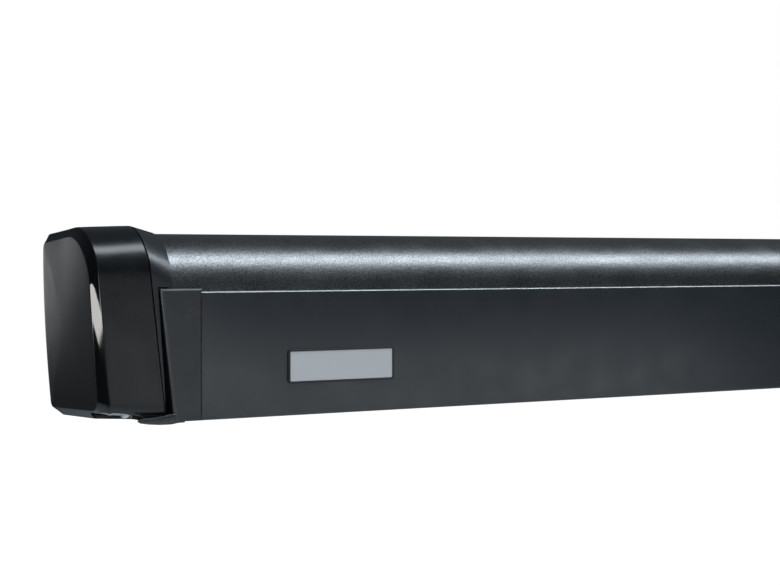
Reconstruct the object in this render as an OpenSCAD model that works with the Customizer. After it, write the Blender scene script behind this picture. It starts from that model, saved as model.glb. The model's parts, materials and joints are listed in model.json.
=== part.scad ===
// Roll out cassette awning for a camper, closed against the wall.
// X runs along the wall. The wall face is the plane Y = 0, with the awning on its -Y side. Z is up.
// Heights are measured from the lower edge of the lead rail. The whole part is then lowered, so that
// its origin is the centre of the wall bolt pattern. Pieces of the left end are drawn first, and the
// right end is their mirror image.

/* [Overall] */
// Length over both end caps
overall_length = 1920; // [1800:10:2400]
// Downward slope of the arms as they fold out, in degrees
arm_slope = 10; // [9:0.5:11]

/* [Casing] */
// Height of the hood's crown above the lower edge of the lead rail
casing_height = 124.5; // [123.5:0.5:130]
// Distance from the wall to the front of the hood
hood_depth = 99.5; // [99:0.5:104]
// Outer radius of the hood's rounded front
hood_radius = 38.5; // [34:0.5:40]
// Wall of the casing profile
casing_wall = 2; // [1.6:0.1:2.4]
// Space behind the casing for the wall brackets, at the standard depth
wall_space = 12; // [11.5:0.5:13]
// Thickness of the cast end plates
plate_thickness = 6; // [4:0.5:8]

/* [Wall brackets] */
// Distance of each wall bracket from the middle
bracket_x = 550; // [300:10:700]
// Width of a wall bracket
bracket_width = 60; // [40:1:100]
// Upright distance between the two wall bolts of a bracket
bolt_spacing = 60; // [40:1:70]
// Radius of the holes for the wall bolts
bolt_hole_radius = 3.3; // [2.5:0.1:4.5]

/* [End caps] */
// Length of an end cap, from its end face to the seam with the collar
cap_length = 44; // [42:0.5:60]
// Length of the collar, from the seam to the hood
collar_length = 18; // [14:0.5:24]
// Rise of the end cap above the hood
cap_rise = 5.5; // [3:0.5:8]
// Wall of the end caps
cap_wall = 2.5; // [2:0.1:3]
// Radius of the end cap's rounded upper front
cap_crown = 32; // [26:0.5:36]
// Lean of the seam and of the rail cap's edge, in degrees
seam_lean = 6.3; // [4:0.1:8]
// Lean of the end face, in degrees
end_lean = 3.4; // [2:0.1:5]
// Inset of the end face behind the front of the end cap
face_inset = 7; // [4:0.5:10]

/* [Roller and cloth] */
// Wall of the roller tube
roller_wall = 1.5; // [1.2:0.1:2]
// Thickness of the cloth
cloth_thickness = 0.5; // [0.4:0.05:0.6]
// Gap between two turns of the wound cloth
cloth_gap = 0.42; // [0.41:0.01:0.45]
// Turns of cloth on the roller
cloth_turns = 9; // [5:1:9]
// Gap between the wound cloth and the hood
roll_gap = 2; // [1.5:0.1:3]
// Distance of the roller's axis from the wall, at the standard depth
roller_axis_depth = 53; // [52.5:0.1:53.5]

/* [Crank drive] */
// Module of the worm drive
gear_module = 2; // [1.8:0.1:2]
// Teeth of the worm wheel
wheel_teeth = 16; // [15:1:16]
// Starts of the worm
worm_starts = 2; // [2:1:2]
// Pitch diameter of the worm
worm_diameter = 14; // [13:0.5:14]
// Forward tilt of the worm shaft, in degrees
worm_tilt = 6; // [4:0.5:8]
// Radius of the worm shaft
worm_shaft_radius = 4.5; // [4:0.1:4.5]

/* [Arms] */
// Thickness of an arm tube, at the standard depth
arm_tube_width = 19; // [17:0.5:19]
// Height of an arm tube, at the standard height
arm_tube_height = 34; // [30:1:35]
// Wall of an arm tube
arm_wall = 2; // [1.5:0.1:2.4]
// Gap between the folded upper arm and forearm
arm_gap = 3; // [2.5:0.5:3.5]
// Height of the shoulder pins, at the standard height
shoulder_pin_height = 32; // [31.5:0.5:34]
// Radius of the arm knuckles, at the standard depth
arm_knuckle_radius = 10.5; // [9.5:0.5:10.5]
// Radius of the pins at shoulder, elbow and front
pin_radius = 5; // [4:0.1:5.5]
// Thickness of the ears that hold the pins
ear_thickness = 4; // [3:0.5:4]
// Distance between the two folded elbow pins
elbow_gap = 44; // [34:1:80]

/* [Lead rail] */
// Height of the lead rail, at the standard height
lead_rail_height = 86; // [85:0.5:87]
// Wall of the lead rail
rail_wall = 2; // [1.6:0.1:2.4]
// Length of the front face of a rail cap
rail_cap_length = 27; // [24:0.5:34]
// Thickness of a rail cap's front face
rail_cap_skin = 1.8; // [1.4:0.1:2.4]

/* [Support legs] */
// Thickness of a leg tube, at the standard depth
leg_tube_thickness = 12; // [11:0.5:12]
// Height of a stowed leg tube, at the standard height
leg_tube_width = 28; // [24:1:28]
// Wall of a leg tube
leg_wall = 1.5; // [1.2:0.1:1.6]
// Length of the outer leg, from its pivot
leg_length = 1000; // [800:10:1000]
// Travel of the inner leg
leg_travel = 680; // [500:10:680]
// Height of the leg pivots, at the standard height
leg_pivot_height = 23; // [22:0.5:24]
// Radius of the leg pivot pins
leg_pin_radius = 4; // [3:0.1:4.5]

/* [Clearances] */
// Radial clearance of a turning pin
pin_clearance = 0.05; // [0.03:0.01:0.1]
// Gap between faces that move past each other
side_clearance = 0.3; // [0.2:0.05:0.4]
// Gap round a plug that is pushed into a tube
plug_clearance = 0.1; // [0.05:0.01:0.2]
// Gap between the hood and the closed lead rail
rail_clearance = 0.5; // [0.4:0.1:0.8]

/* [Hidden] */
$fn = 64;
left = "left";
right = "right";

// Colours
anthracite = [0.17, 0.18, 0.20];
rail_grey = [0.22, 0.24, 0.28];
gloss_black = [0.05, 0.05, 0.06];
cast_grey = [0.55, 0.56, 0.58];
bare_steel = [0.72, 0.73, 0.75];
plastic_black = [0.10, 0.10, 0.11];
cloth_grey = [0.62, 0.63, 0.64];

// The fittings follow the depth and height of the casing
standard_depth = 99.5;
standard_height = 124.5;
depth_ratio = hood_depth / standard_depth;
height_ratio = casing_height / standard_height;
bracket_space = wall_space * depth_ratio;
roller_depth = roller_axis_depth * depth_ratio;
arm_width = arm_tube_width * depth_ratio;
arm_height = arm_tube_height * height_ratio;
shoulder_height = shoulder_pin_height * height_ratio;
knuckle_radius = arm_knuckle_radius * depth_ratio;
rail_height = lead_rail_height * height_ratio;
leg_thickness = leg_tube_thickness * depth_ratio;
leg_width = leg_tube_width * height_ratio;
leg_height = leg_pivot_height * height_ratio;

// Places along X, as distances from the middle
half_length = overall_length / 2;
seam_x = half_length - cap_length;
collar_x = seam_x - collar_length;
casing_half = seam_x - 10;
plate_x = casing_half + plate_thickness;
gear_x = plate_x + 18;
rail_cap_x = seam_x - 6.5;
rail_border_x = rail_cap_x - rail_cap_length;
leg_pivot_x = rail_border_x - 4.5;
shoulder_x = leg_pivot_x - 40;

// Casing section
mount_height = 62 * height_ratio;
cut_length = 80;
hood_lip = rail_height - 4;
hook_top = casing_height - 6;
bracket_top = hook_top - 11.5;
hood_y = hood_depth - hood_radius;
hood_z = casing_height - hood_radius;
back_inner = bracket_space + casing_wall;
foot_z = 4;
port_radius = 4;
screw_radius = 2;
port_inset = port_radius - 0.6;
port_angle = 40;
port_reach = hood_radius - casing_wall - port_inset;
ports = [
    [-back_inner - port_inset, casing_height - casing_wall - port_inset],
    [-back_inner - port_inset, foot_z + casing_wall + port_inset],
    [-hood_y - port_reach * cos(port_angle), hood_z + port_reach * sin(port_angle)],
];

// End caps
cap_top = casing_height + cap_rise;
cap_bottom = -1;
cap_rear = 3;
lean_height = 64;
band_depth = 5;
seam_gap = 0.4;
band_lean = 4.9;
end_mid_x = half_length - (cap_top - lean_height) * tan(end_lean);

// Lead rail section
rail_back = hood_depth + rail_clearance;
rail_front = rail_back + rail_wall;
rail_cap_top = rail_height + 2;
rail_cap_bottom = -2;
rail_cap_wall = 2.5;
rail_half = leaning_x(rail_cap_x, rail_cap_bottom) - rail_cap_wall - 0.3;
shelf_z = 54 * height_ratio;
box_top = hood_lip - 9;
box_rear = rail_back - 14;
keder_radius = 5;
keder_y = box_rear - 6;
keder_z = shelf_z + rail_wall + keder_radius - 0.4;
bead_radius = 2.6;
cap_front = rail_front;

// Support leg lanes, one behind the other
lane_b = rail_back - 4 - leg_thickness / 2;
lane_a = lane_b - leg_thickness - 2.5;
leg_ear = 2.5;

// Arms
lane = arm_width + arm_gap;
bracket_plate = 2.5;
knuckle_height = arm_height - 8;
knuckle_depth = knuckle_radius * cos(arm_slope) + knuckle_height / 2 * sin(arm_slope);
shoulder_depth = back_inner + bracket_plate + 0.8 + knuckle_depth;
ear_inner = knuckle_height / 2 + side_clearance;
tube_start = 26;
plug_length = 34;
elbow_x = shoulder_x - elbow_gap / 2;
tube_end = elbow_x - 34;
elbow_ear = 8.2;
web_front = lane_a - leg_thickness / 2 - 0.5;
web_rear = shoulder_depth + lane * cos(arm_slope) + knuckle_depth + 0.6;

// Crank drive
wheel_radius = gear_module * wheel_teeth / 2;
wheel_width = 12;
axis_distance = wheel_radius + worm_diameter / 2;
worm_lead = PI * gear_module * worm_starts;
worm_length = 26;
shaft_radius = 6;
housing_radius = wheel_radius + 7;

// Wound cloth: the room between the arms and the hood gives its radius and the roller's place
cloth_half = casing_half - 30;
cloth_pitch = cloth_thickness + cloth_gap;
roll_ceiling = casing_height - casing_wall - roll_gap;
roll_floor = shoulder_height + arm_height / 2 + 8.5;
roll_radius = min((roll_ceiling - roll_floor) / 2, 31.5 * depth_ratio);
roller_height = roll_ceiling - roll_radius;
cloth_start = roll_radius - cloth_turns * cloth_pitch - cloth_thickness;
roller_radius = cloth_start - 0.15;

// Least gap between neighbouring turns, measured on points round the winding
function wound_radius(turn) = cloth_start + turn * cloth_pitch;
turn_gaps = [for (turn = [0:1 / 24:cloth_turns - 1])
    wound_radius(turn + 1) - wound_radius(turn) - cloth_thickness];
echo(least_gap_of_the_wound_cloth = min(turn_gaps));

// Helpers
module to_side(side) {
    if (side == left) children();
    else mirror([1, 0, 0]) children();
}

// Extrude a section of (Y, Z) points along X
module along_x(from, to) {
    translate([from, 0, 0]) rotate([90, 0, 90]) linear_extrude(to - from) children();
}

// Extrude a front view of (X, Z) points from one depth to another
module along_y(from, to) {
    translate([0, -from, 0]) rotate([90, 0, 0]) linear_extrude(to - from) children();
}

// Rectangle of a section, given by its depths behind and in front and its heights
module bar(rear, front, bottom, top) {
    translate([-front, bottom]) square([front - rear, top - bottom]);
}

module rounded_rect(width, height, radius) {
    square([width - 2 * radius, height], center = true);
    square([width, height - 2 * radius], center = true);
    for (sx = [-1, 1], sy = [-1, 1])
        translate([sx * (width / 2 - radius), sy * (height / 2 - radius)]) circle(radius);
}

module tube_section(width, height, radius, wall) {
    difference() {
        rounded_rect(width, height, radius);
        rounded_rect(width - 2 * wall, height - 2 * wall, radius - wall);
    }
}

module x_cylinder(from, to, radius) {
    translate([from, 0, 0]) rotate([0, 90, 0]) cylinder(r = radius, h = to - from);
}

module y_cylinder(radius, length) {
    rotate([90, 0, 0]) cylinder(r = radius, h = length, center = true);
}

// Frame of an arm: its origin is the shoulder pin, -Y points out along the slope
module arm_frame() {
    translate([-shoulder_x, -shoulder_depth, shoulder_height]) rotate([arm_slope, 0, 0]) children();
}

// Frame of a stowed leg: its origin is the leg's pivot
function leg_lane(side) = side == left ? lane_a : lane_b;
module leg_frame(side) {
    to_side(side) translate([-leg_pivot_x, -leg_lane(side), leg_height]) children();
}

// Frame of the worm: Z is its axis, and the wheel's axis lies at +Y
module worm_frame() {
    translate([-gear_x, -roller_depth, roller_height]) rotate([-worm_tilt, 0, 0])
        translate([0, -axis_distance, 0]) children();
}

// Distance from the middle of an edge that leans with the seam
function leaning_x(x, z) = x + (z - lean_height) * tan(seam_lean);

// Casing profile
module hood_arc() {
    translate([-hood_y, hood_z]) intersection() {
        difference() {
            circle(hood_radius);
            circle(hood_radius - casing_wall);
        }
        translate([-hood_radius, 0]) square(hood_radius);
    }
}

module casing_section() {
    hook = bracket_space - 5;
    difference() {
        union() {
            bar(bracket_space, back_inner, foot_z, casing_height);
            bar(bracket_space, hood_y, casing_height - casing_wall, casing_height);
            hood_arc();
            bar(hood_depth - casing_wall, hood_depth, hood_lip, hood_z);
            bar(hood_depth - 5, hood_depth, hood_lip, hood_lip + 1.5);
            bar(hook - 2, bracket_space, hook_top - 2.5, hook_top);
            bar(hook - 2, hook, hook_top - 10.5, hook_top);
            bar(4.2, bracket_space, foot_z, foot_z + 2.5);
            bar(back_inner, 26, foot_z, foot_z + casing_wall);
            bar(24.5, 26, foot_z, foot_z + 5);
            for (port = ports) translate(port) circle(port_radius);
        }
        for (port = ports) translate(port) circle(screw_radius + 0.05);
    }
}

bracket_screw_y = 8;
bracket_screw_x = [-bracket_x - 15, -bracket_x + 15, bracket_x - 15, bracket_x + 15];
bracket_screw_radius = 2.5;

module casing() {
    color(anthracite) difference() {
        along_x(-casing_half, casing_half) casing_section();
        for (x = bracket_screw_x)
            translate([x, -bracket_screw_y, foot_z - 1]) cylinder(r = bracket_screw_radius, h = 10);
    }
}

module hood_seal() {
    color(plastic_black) along_x(-collar_x, collar_x) {
        bar(hood_depth - 3, hood_depth - 0.6, hood_lip - 3, hood_lip);
        translate([-hood_depth + 1.8, hood_lip - 3]) circle(1.6);
    }
}

// Wall brackets, with a hook for the casing and a tab for its screws
module wall_brackets() {
    color(cast_grey) for (x = [-bracket_x, bracket_x]) difference() {
        along_x(x - bracket_width / 2, x + bracket_width / 2) {
            bar(0, 4, 1, bracket_top);
            bar(4, bracket_space - 1, bracket_top - 3, bracket_top);
            bar(bracket_space - 3.8, bracket_space - 1, bracket_top - 3, hook_top - 2.5);
            bar(4, bracket_space, 1, foot_z);
        }
        for (z = [-1, 1]) translate([x, 0, mount_height + z * bolt_spacing / 2])
            y_cylinder(bolt_hole_radius, cut_length);
        for (screw = bracket_screw_x)
            translate([screw, -bracket_screw_y, 0]) cylinder(r = bracket_screw_radius, h = 6);
    }
}

module bracket_screws() {
    color(bare_steel) for (x = bracket_screw_x) translate([x, -bracket_screw_y, 1]) {
        cylinder(r = bracket_screw_radius, h = 5.5 + foot_z - 4);
        translate([0, 0, -2.4]) cylinder(r1 = 3.6, r2 = 4, h = 2.4);
    }
}

// Cast end plates with the roller's bearing and the screws into the casing
module plate_section() {
    intersection() {
        union() {
            bar(bracket_space, hood_y, foot_z, casing_height);
            translate([-hood_y, hood_z]) circle(hood_radius);
        }
        union() {
            bar(0, rail_back - 26, 0, casing_height);
            bar(0, hood_depth, rail_height + 5, casing_height);
        }
    }
}

module end_plate(side) {
    color(cast_grey) to_side(side) difference() {
        union() {
            along_x(-plate_x, -casing_half) plate_section();
            translate([0, -roller_depth, roller_height]) x_cylinder(-plate_x, -casing_half + 5, 12);
        }
        translate([0, -roller_depth, roller_height])
            x_cylinder(-plate_x - 1, -casing_half + 6, shaft_radius + pin_clearance);
        for (port = ports) translate([0, port[0], port[1]])
            x_cylinder(-plate_x - 1, -casing_half + 1, screw_radius + 0.05);
    }
}

module end_plate_screws() {
    color(bare_steel) for (side = [left, right], port = ports)
        to_side(side) translate([0, port[0], port[1]]) {
            x_cylinder(-plate_x, -casing_half + 14, screw_radius);
            x_cylinder(-plate_x - 2.4, -plate_x, 3.6);
        }
}

// One slice of an end cap: four rounded corners on a leaning plane
module cap_slice(x, lean, rear, front, top, bottom, crown, corner) {
    corners = [
        [-front + crown, top - crown, crown],
        [-rear - corner, top - corner, corner],
        [-front + corner, bottom + corner, corner],
        [-rear - corner, bottom + corner, corner],
    ];
    translate([-x, 0, lean_height]) rotate([0, -lean, 0]) translate([0, 0, -lean_height])
        for (c = corners) translate([0, c[0], c[1]]) rotate([0, 90, 0])
            cylinder(r = c[2], h = 0.1, center = true, $fn = 48);
}

module cap_form(wall, seam) {
    crown = cap_crown - wall;
    hull() {
        cap_slice(seam, seam_lean, cap_rear + wall, cap_front - wall, cap_top - wall,
            cap_bottom + wall, crown, 11 - wall);
        cap_slice(end_mid_x - band_depth - wall, band_lean, cap_rear + wall, cap_front - wall,
            cap_top - wall, cap_bottom + wall, crown, 11 - wall);
        cap_slice(end_mid_x - wall, end_lean, cap_rear + 1 + wall, cap_front - face_inset - wall,
            cap_top - face_inset - wall, cap_bottom + face_inset + wall, crown - 4, 9 - wall);
    }
}

// Mouth under the left end cap, through which the crank's hook reaches the eye
module crank_mouth() {
    translate([-gear_x, 0, -5]) linear_extrude(12) translate([0, -roller_depth - 30])
        rounded_rect(36, 26, 8);
}

module end_cap(side) {
    color(gloss_black) to_side(side) difference() {
        cap_form(0, seam_x);
        cap_form(cap_wall, seam_x - 2);
        if (side == left) crank_mouth();
    }
}

// Collar that leads from the end cap to the hood, cut away in front for the lead rail's cap
module collar(side) {
    color(anthracite) to_side(side) difference() {
        hull() {
            cap_slice(seam_x - seam_gap, seam_lean, cap_rear, cap_front, cap_top, cap_bottom, cap_crown, 11);
            cap_slice(collar_x, 0, bracket_space, hood_depth + 1, casing_height + 1, cap_bottom + 1,
                hood_radius + 1, 6);
        }
        along_x(-seam_x - 20, -collar_x + 2) {
            bar(0, hood_depth + 0.3, cap_bottom + 13, hood_z);
            bar(0, hood_depth - 9, cap_bottom + cap_wall, hood_z);
            bar(0, hood_y, hood_z - 1, casing_height + 0.3);
            translate([-hood_y, hood_z]) circle(hood_radius + 0.3);
        }
        along_x(-seam_x - 20, -collar_x + 2) bar(-10, bracket_space + 0.3, -20, cap_top + 20);
        along_y(rail_back - 22, rail_front + 20) polygon([
            [-leaning_x(rail_cap_x + 2.5, -20), -20],
            [-leaning_x(rail_cap_x + 2.5, rail_height + 3), rail_height + 3],
            [-collar_x + 10, rail_height + 3],
            [-collar_x + 10, -20],
        ]);
    }
}

// Two ears round a pin, joined to what carries them at the far end of their reach
module ears(reach) {
    for (s = [0, 1]) mirror([0, 0, s]) translate([0, 0, ear_inner]) linear_extrude(ear_thickness) {
        circle(knuckle_radius);
        translate([-knuckle_radius, 0]) square([2 * knuckle_radius, reach]);
    }
}

bracket_low = shoulder_height - arm_height / 2;
bracket_high = shoulder_height + arm_height / 2 + 9;

module shoulder_bracket(side) {
    color(cast_grey) to_side(side) difference() {
        union() {
            along_x(-shoulder_x - 26, -shoulder_x + 26)
                bar(back_inner, back_inner + bracket_plate, bracket_low, bracket_high);
            intersection() {
                arm_frame() ears(30);
                translate([-shoulder_x - 40, -100, 0]) cube([80, 100 - back_inner, 100]);
            }
        }
        arm_frame() cylinder(r = pin_radius + 0.01, h = cut_length, center = true);
    }
}

pin_reach = ear_inner + ear_thickness;

module arm_pin() {
    cylinder(r = pin_radius, h = 2 * pin_reach + 3, center = true);
    for (s = [0, 1]) mirror([0, 0, s]) translate([0, 0, pin_reach]) cylinder(r = pin_radius + 2, h = 1.5);
}

module shoulder_pins() {
    color(bare_steel) for (side = [left, right]) to_side(side) arm_frame() arm_pin();
}

// Gear housing, hollow round the worm and its wheel
module gear_housing() {
    color(cast_grey) difference() {
        union() {
            translate([0, -roller_depth, roller_height]) x_cylinder(-gear_x - 14, -plate_x, housing_radius);
            worm_frame() translate([0, 0, -36]) cylinder(r = worm_diameter / 2 + 6, h = 60);
        }
        translate([0, -roller_depth, roller_height]) {
            x_cylinder(-gear_x - 11, -gear_x + 11, wheel_radius + gear_module + 1);
            x_cylinder(-gear_x - 20, -plate_x + 1, shaft_radius + pin_clearance);
        }
        worm_frame() {
            translate([0, 0, -15]) cylinder(r = worm_diameter / 2 + gear_module + 0.8, h = 30);
            translate([0, 0, -40]) cylinder(r = worm_shaft_radius + pin_clearance, h = 61);
        }
    }
}

// Worm: a section whose radius follows the thread, twisted along the axis
tooth_half = 0.21 * PI * gear_module;
function thread_radius(z) =
    let (depth = (abs(z) - tooth_half) / tan(20))
    max(worm_diameter / 2 - 1.2 * gear_module, min(worm_diameter / 2 + gear_module,
        worm_diameter / 2 - depth));
function thread_offset(angle) =
    let (pitch = PI * gear_module, z = worm_lead * angle / 360)
    z - pitch * round(z / pitch);

module worm_thread() {
    rotate([0, 0, 90]) translate([0, 0, -worm_length / 2])
        rotate([0, 0, -180 * worm_length / worm_lead])
            linear_extrude(worm_length, twist = -360 * worm_length / worm_lead, slices = 30, $fn = 24)
                polygon([for (angle = [0:15:345])
                    thread_radius(thread_offset(angle)) * [cos(angle), sin(angle)]]);
}

shaft_bottom = 20 - roller_height;

module worm_shaft() {
    color(bare_steel) worm_frame() {
        worm_thread();
        translate([0, 0, shaft_bottom]) cylinder(r = worm_shaft_radius, h = 20 - shaft_bottom);
    }
}

eye_radius = 8;
eye_wire = 2.6;

module crank_eye() {
    color(bare_steel) worm_frame() difference() {
        union() {
            translate([0, 0, shaft_bottom - eye_radius - 2.5]) rotate([0, 90, 0])
                rotate_extrude() translate([eye_radius, 0]) circle(eye_wire);
            translate([0, 0, shaft_bottom - 3]) cylinder(r = worm_shaft_radius + 2.5, h = 16);
        }
        translate([0, 0, shaft_bottom]) cylinder(r = worm_shaft_radius + 0.01, h = 20);
    }
}

// Roller tube with the groove that takes the cloth's inner edge
module roller_tube() {
    inner = roller_radius - roller_wall;
    color(cast_grey) translate([0, -roller_depth, roller_height])
        along_x(-casing_half + 10, casing_half - 10) difference() {
            union() {
                difference() {
                    circle(roller_radius);
                    circle(inner);
                }
                intersection() {
                    translate([0, roller_radius - 4]) circle(4.2);
                    circle(roller_radius);
                }
            }
            translate([0, roller_radius - 4]) circle(2.6);
            translate([-0.8, roller_radius - 4]) square([1.6, 6]);
        }
}

// Plugs in the ends of the roller tube, notched for its groove
module roller_plug(shaft_end) {
    plug = roller_radius - roller_wall - plug_clearance;
    difference() {
        union() {
            x_cylinder(-casing_half + 10, -casing_half + 40, plug);
            x_cylinder(-casing_half + 7, -casing_half + 10, roller_radius);
            x_cylinder(-shaft_end, -casing_half + 12, shaft_radius);
        }
        translate([0, 0, roller_radius - 4]) x_cylinder(-casing_half + 10, -casing_half + 41, 4.6);
    }
}

module drive_plug() {
    color(plastic_black) translate([0, -roller_depth, roller_height]) roller_plug(gear_x + 13);
}

module idler_plug() {
    color(plastic_black) mirror([1, 0, 0]) translate([0, -roller_depth, roller_height])
        roller_plug(plate_x + 4);
}

// Worm wheel: helical teeth that match the lead of the worm
module tooth_section() {
    step = 360 / wheel_teeth;
    root = wheel_radius - 1.2 * gear_module;
    tip = wheel_radius + gear_module;
    polygon([for (tooth = [0:wheel_teeth - 1], p = [[root, -0.33], [wheel_radius, -0.21], [tip, -0.1],
            [tip, 0.1], [wheel_radius, 0.21], [root, 0.33]])
        p[0] * [cos((tooth + 0.5 + p[1]) * step), sin((tooth + 0.5 + p[1]) * step)]]);
}

module worm_wheel() {
    lead_angle = atan(worm_lead / (PI * worm_diameter));
    twist = wheel_width * tan(lead_angle) / wheel_radius * 180 / PI;
    color([0.72, 0.60, 0.32]) translate([-gear_x, -roller_depth, roller_height]) rotate([-worm_tilt, 0, 0])
        difference() {
            rotate([0, 90, 0]) rotate([0, 0, -90]) translate([0, 0, -wheel_width / 2])
                rotate([0, 0, -twist / 2])
                    linear_extrude(wheel_width, twist = -twist, slices = 4) tooth_section();
            x_cylinder(-10, 10, shaft_radius + 0.01);
        }
}

// Wound cloth: half turns about two centres, each half turn larger than the one before
module half_ring(front, radius, centre) {
    translate([0, centre]) intersection() {
        difference() {
            circle(radius + cloth_thickness);
            circle(radius);
        }
        translate([front ? -2 * radius : 0, -2 * radius]) square([2 * radius, 4 * radius]);
    }
}

module cloth_roll() {
    color(cloth_grey) translate([0, -roller_depth, roller_height]) along_x(-cloth_half, cloth_half)
        for (half = [0:2 * cloth_turns - 1])
            half_ring(half % 2 == 0, cloth_start + half * cloth_pitch / 2,
                half % 2 == 0 ? 0 : -cloth_pitch / 2);
}

// Run of cloth from under the roller to the bead in the lead rail
module cloth_run() {
    low = roller_height - roll_radius - side_clearance - cloth_thickness;
    mouth = keder_y - keder_radius - 2;
    half = cloth_thickness / 2;
    color(cloth_grey) along_x(-cloth_half, cloth_half) {
        polygon([
            [-roller_depth, low],
            [-roller_depth, low + cloth_thickness],
            [-mouth, keder_z + half],
            [-keder_y, keder_z + half],
            [-keder_y, keder_z - half],
            [-mouth, keder_z - half],
        ]);
        translate([-keder_y, keder_z]) circle(bead_radius);
    }
}

// Arms
module arm_tube(y) {
    along_x(tube_start, tube_end) translate([y, 0]) tube_section(arm_width, arm_height, 6, arm_wall);
}

module arm_plug(from, to, y) {
    along_x(from, to) translate([y, 0])
        rounded_rect(arm_width - 2 * arm_wall - 2 * plug_clearance,
            arm_height - 2 * arm_wall - 2 * plug_clearance, 6 - arm_wall);
}

module arm_flange(from, to, y) {
    along_x(from, to) translate([y, 0]) rounded_rect(arm_width, arm_height, 6);
}

module upper_tube(side) {
    color(cast_grey) to_side(side) arm_frame() arm_tube(0);
}

module fore_tube(side) {
    color(cast_grey) to_side(side) arm_frame() arm_tube(-lane);
}

// Knuckle at the wall end of an upper arm, or at the rail end of a forearm
module end_knuckle(y, clearance) {
    difference() {
        union() {
            translate([0, y, 0]) cylinder(r = knuckle_radius, h = knuckle_height, center = true);
            along_x(0, tube_start) translate([y, 0]) square([16, knuckle_height], center = true);
            arm_flange(tube_start - 4, tube_start, y);
            arm_plug(tube_start - 1, tube_start + plug_length, y);
        }
        translate([0, y, 0]) cylinder(r = pin_radius + clearance, h = cut_length, center = true);
    }
}

module shoulder_knuckle(side) {
    color(plastic_black) to_side(side) arm_frame() end_knuckle(0, pin_clearance);
}

// The right front knuckle is the open pivot of the linkage and has more clearance
module front_knuckle(side) {
    clearance = side == left ? pin_clearance : side_clearance;
    color(plastic_black) to_side(side) arm_frame() end_knuckle(-lane, clearance);
}

elbow_top = arm_height / 2 - 0.5;

module elbow_fork(side) {
    color(plastic_black) to_side(side) arm_frame() difference() {
        union() {
            arm_plug(tube_end - plug_length, tube_end + 1, 0);
            arm_flange(tube_end, tube_end + 10, 0);
            for (s = [0, 1]) mirror([0, 0, s]) translate([0, 0, elbow_ear])
                linear_extrude(elbow_top - elbow_ear) hull() {
                    translate([elbow_x, -lane / 2]) circle(knuckle_radius, $fn = 32);
                    translate([tube_end + 6, -arm_width / 2 + 1]) square([4, arm_width - 2]);
                }
        }
        translate([elbow_x, -lane / 2, 0]) cylinder(r = pin_radius + 0.01, h = cut_length, center = true);
        x_cylinder(tube_end - plug_length - 1, elbow_x, 2.6);
    }
}

module elbow_pin(side) {
    color(bare_steel) to_side(side) arm_frame() translate([elbow_x, -lane / 2, 0]) {
        cylinder(r = pin_radius, h = 2 * elbow_top + 3, center = true);
        for (s = [0, 1]) mirror([0, 0, s]) translate([0, 0, elbow_top])
            cylinder(r = pin_radius + 2, h = 1.5);
    }
}

module elbow_knuckle(side) {
    neck = 2 * (elbow_ear - side_clearance);
    color(plastic_black) to_side(side) arm_frame() difference() {
        union() {
            arm_plug(tube_end - plug_length, tube_end + 1, -lane);
            arm_flange(tube_end, tube_end + 8, -lane);
            linear_extrude(neck, center = true) hull() {
                translate([elbow_x, -lane / 2]) circle(knuckle_radius - 0.5, $fn = 32);
                translate([tube_end + 4, -lane - arm_width / 2 + 2]) square([4, arm_width - 4]);
            }
        }
        translate([elbow_x, -lane / 2, 0])
            cylinder(r = pin_radius + pin_clearance, h = cut_length, center = true);
    }
}

// Tension strut in the upper arm: a cylinder on the shoulder knuckle, and a rod with the elbow's cable
strut_from = tube_start + plug_length;
strut_length = 320;
strut_to = strut_from + strut_length;
rod_end = tube_end - plug_length - 50;

module strut(side) {
    color(gloss_black) to_side(side) arm_frame() difference() {
        x_cylinder(strut_from, strut_to, 6.5);
        x_cylinder(strut_from + 4, strut_to - 6, 5.3);
        x_cylinder(strut_from + 4, strut_to + 1, 3.05);
    }
}

module strut_rod(side) {
    color(bare_steel) to_side(side) arm_frame() {
        x_cylinder(strut_to - 70, strut_to - 62, 5);
        x_cylinder(strut_to - 64, rod_end, 3);
        x_cylinder(rod_end - 16, rod_end, 5);
        x_cylinder(rod_end - 1, tube_end + 12, 1.5);
    }
}

// Lead rail
module lead_rail() {
    color(rail_grey) along_x(-rail_half, rail_half) {
        bar(rail_back, rail_front, 0, rail_height);
        bar(rail_back - 1.4, rail_back + 0.1, 0, 2);
    }
}

// Beam behind the rail's panel: a box with the shelf and the groove for the cloth's bead
module beam_section() {
    difference() {
        union() {
            difference() {
                bar(box_rear, rail_back, shelf_z, box_top);
                bar(box_rear + rail_wall, rail_back - rail_wall, shelf_z + rail_wall, box_top - rail_wall);
            }
            bar(keder_y - 3, box_rear + 0.1, shelf_z, shelf_z + rail_wall);
            translate([-keder_y, keder_z]) circle(keder_radius);
        }
        translate([-keder_y, keder_z]) circle(bead_radius + 0.6);
        translate([-keder_y, keder_z - 0.9]) square([keder_radius + 2, 1.8]);
    }
}

module rail_beam() {
    color(cast_grey) along_x(-rail_half, rail_half) beam_section();
}

skin_back = rail_front + 0.15;
skin_front = skin_back + rail_cap_skin;

module leaning_strip(width) {
    polygon([
        [-leaning_x(rail_cap_x, rail_cap_bottom), rail_cap_bottom],
        [-leaning_x(rail_cap_x, rail_cap_top), rail_cap_top],
        [-leaning_x(rail_cap_x, rail_cap_top) + width, rail_cap_top],
        [-leaning_x(rail_cap_x, rail_cap_bottom) + width, rail_cap_bottom],
    ]);
}

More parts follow.
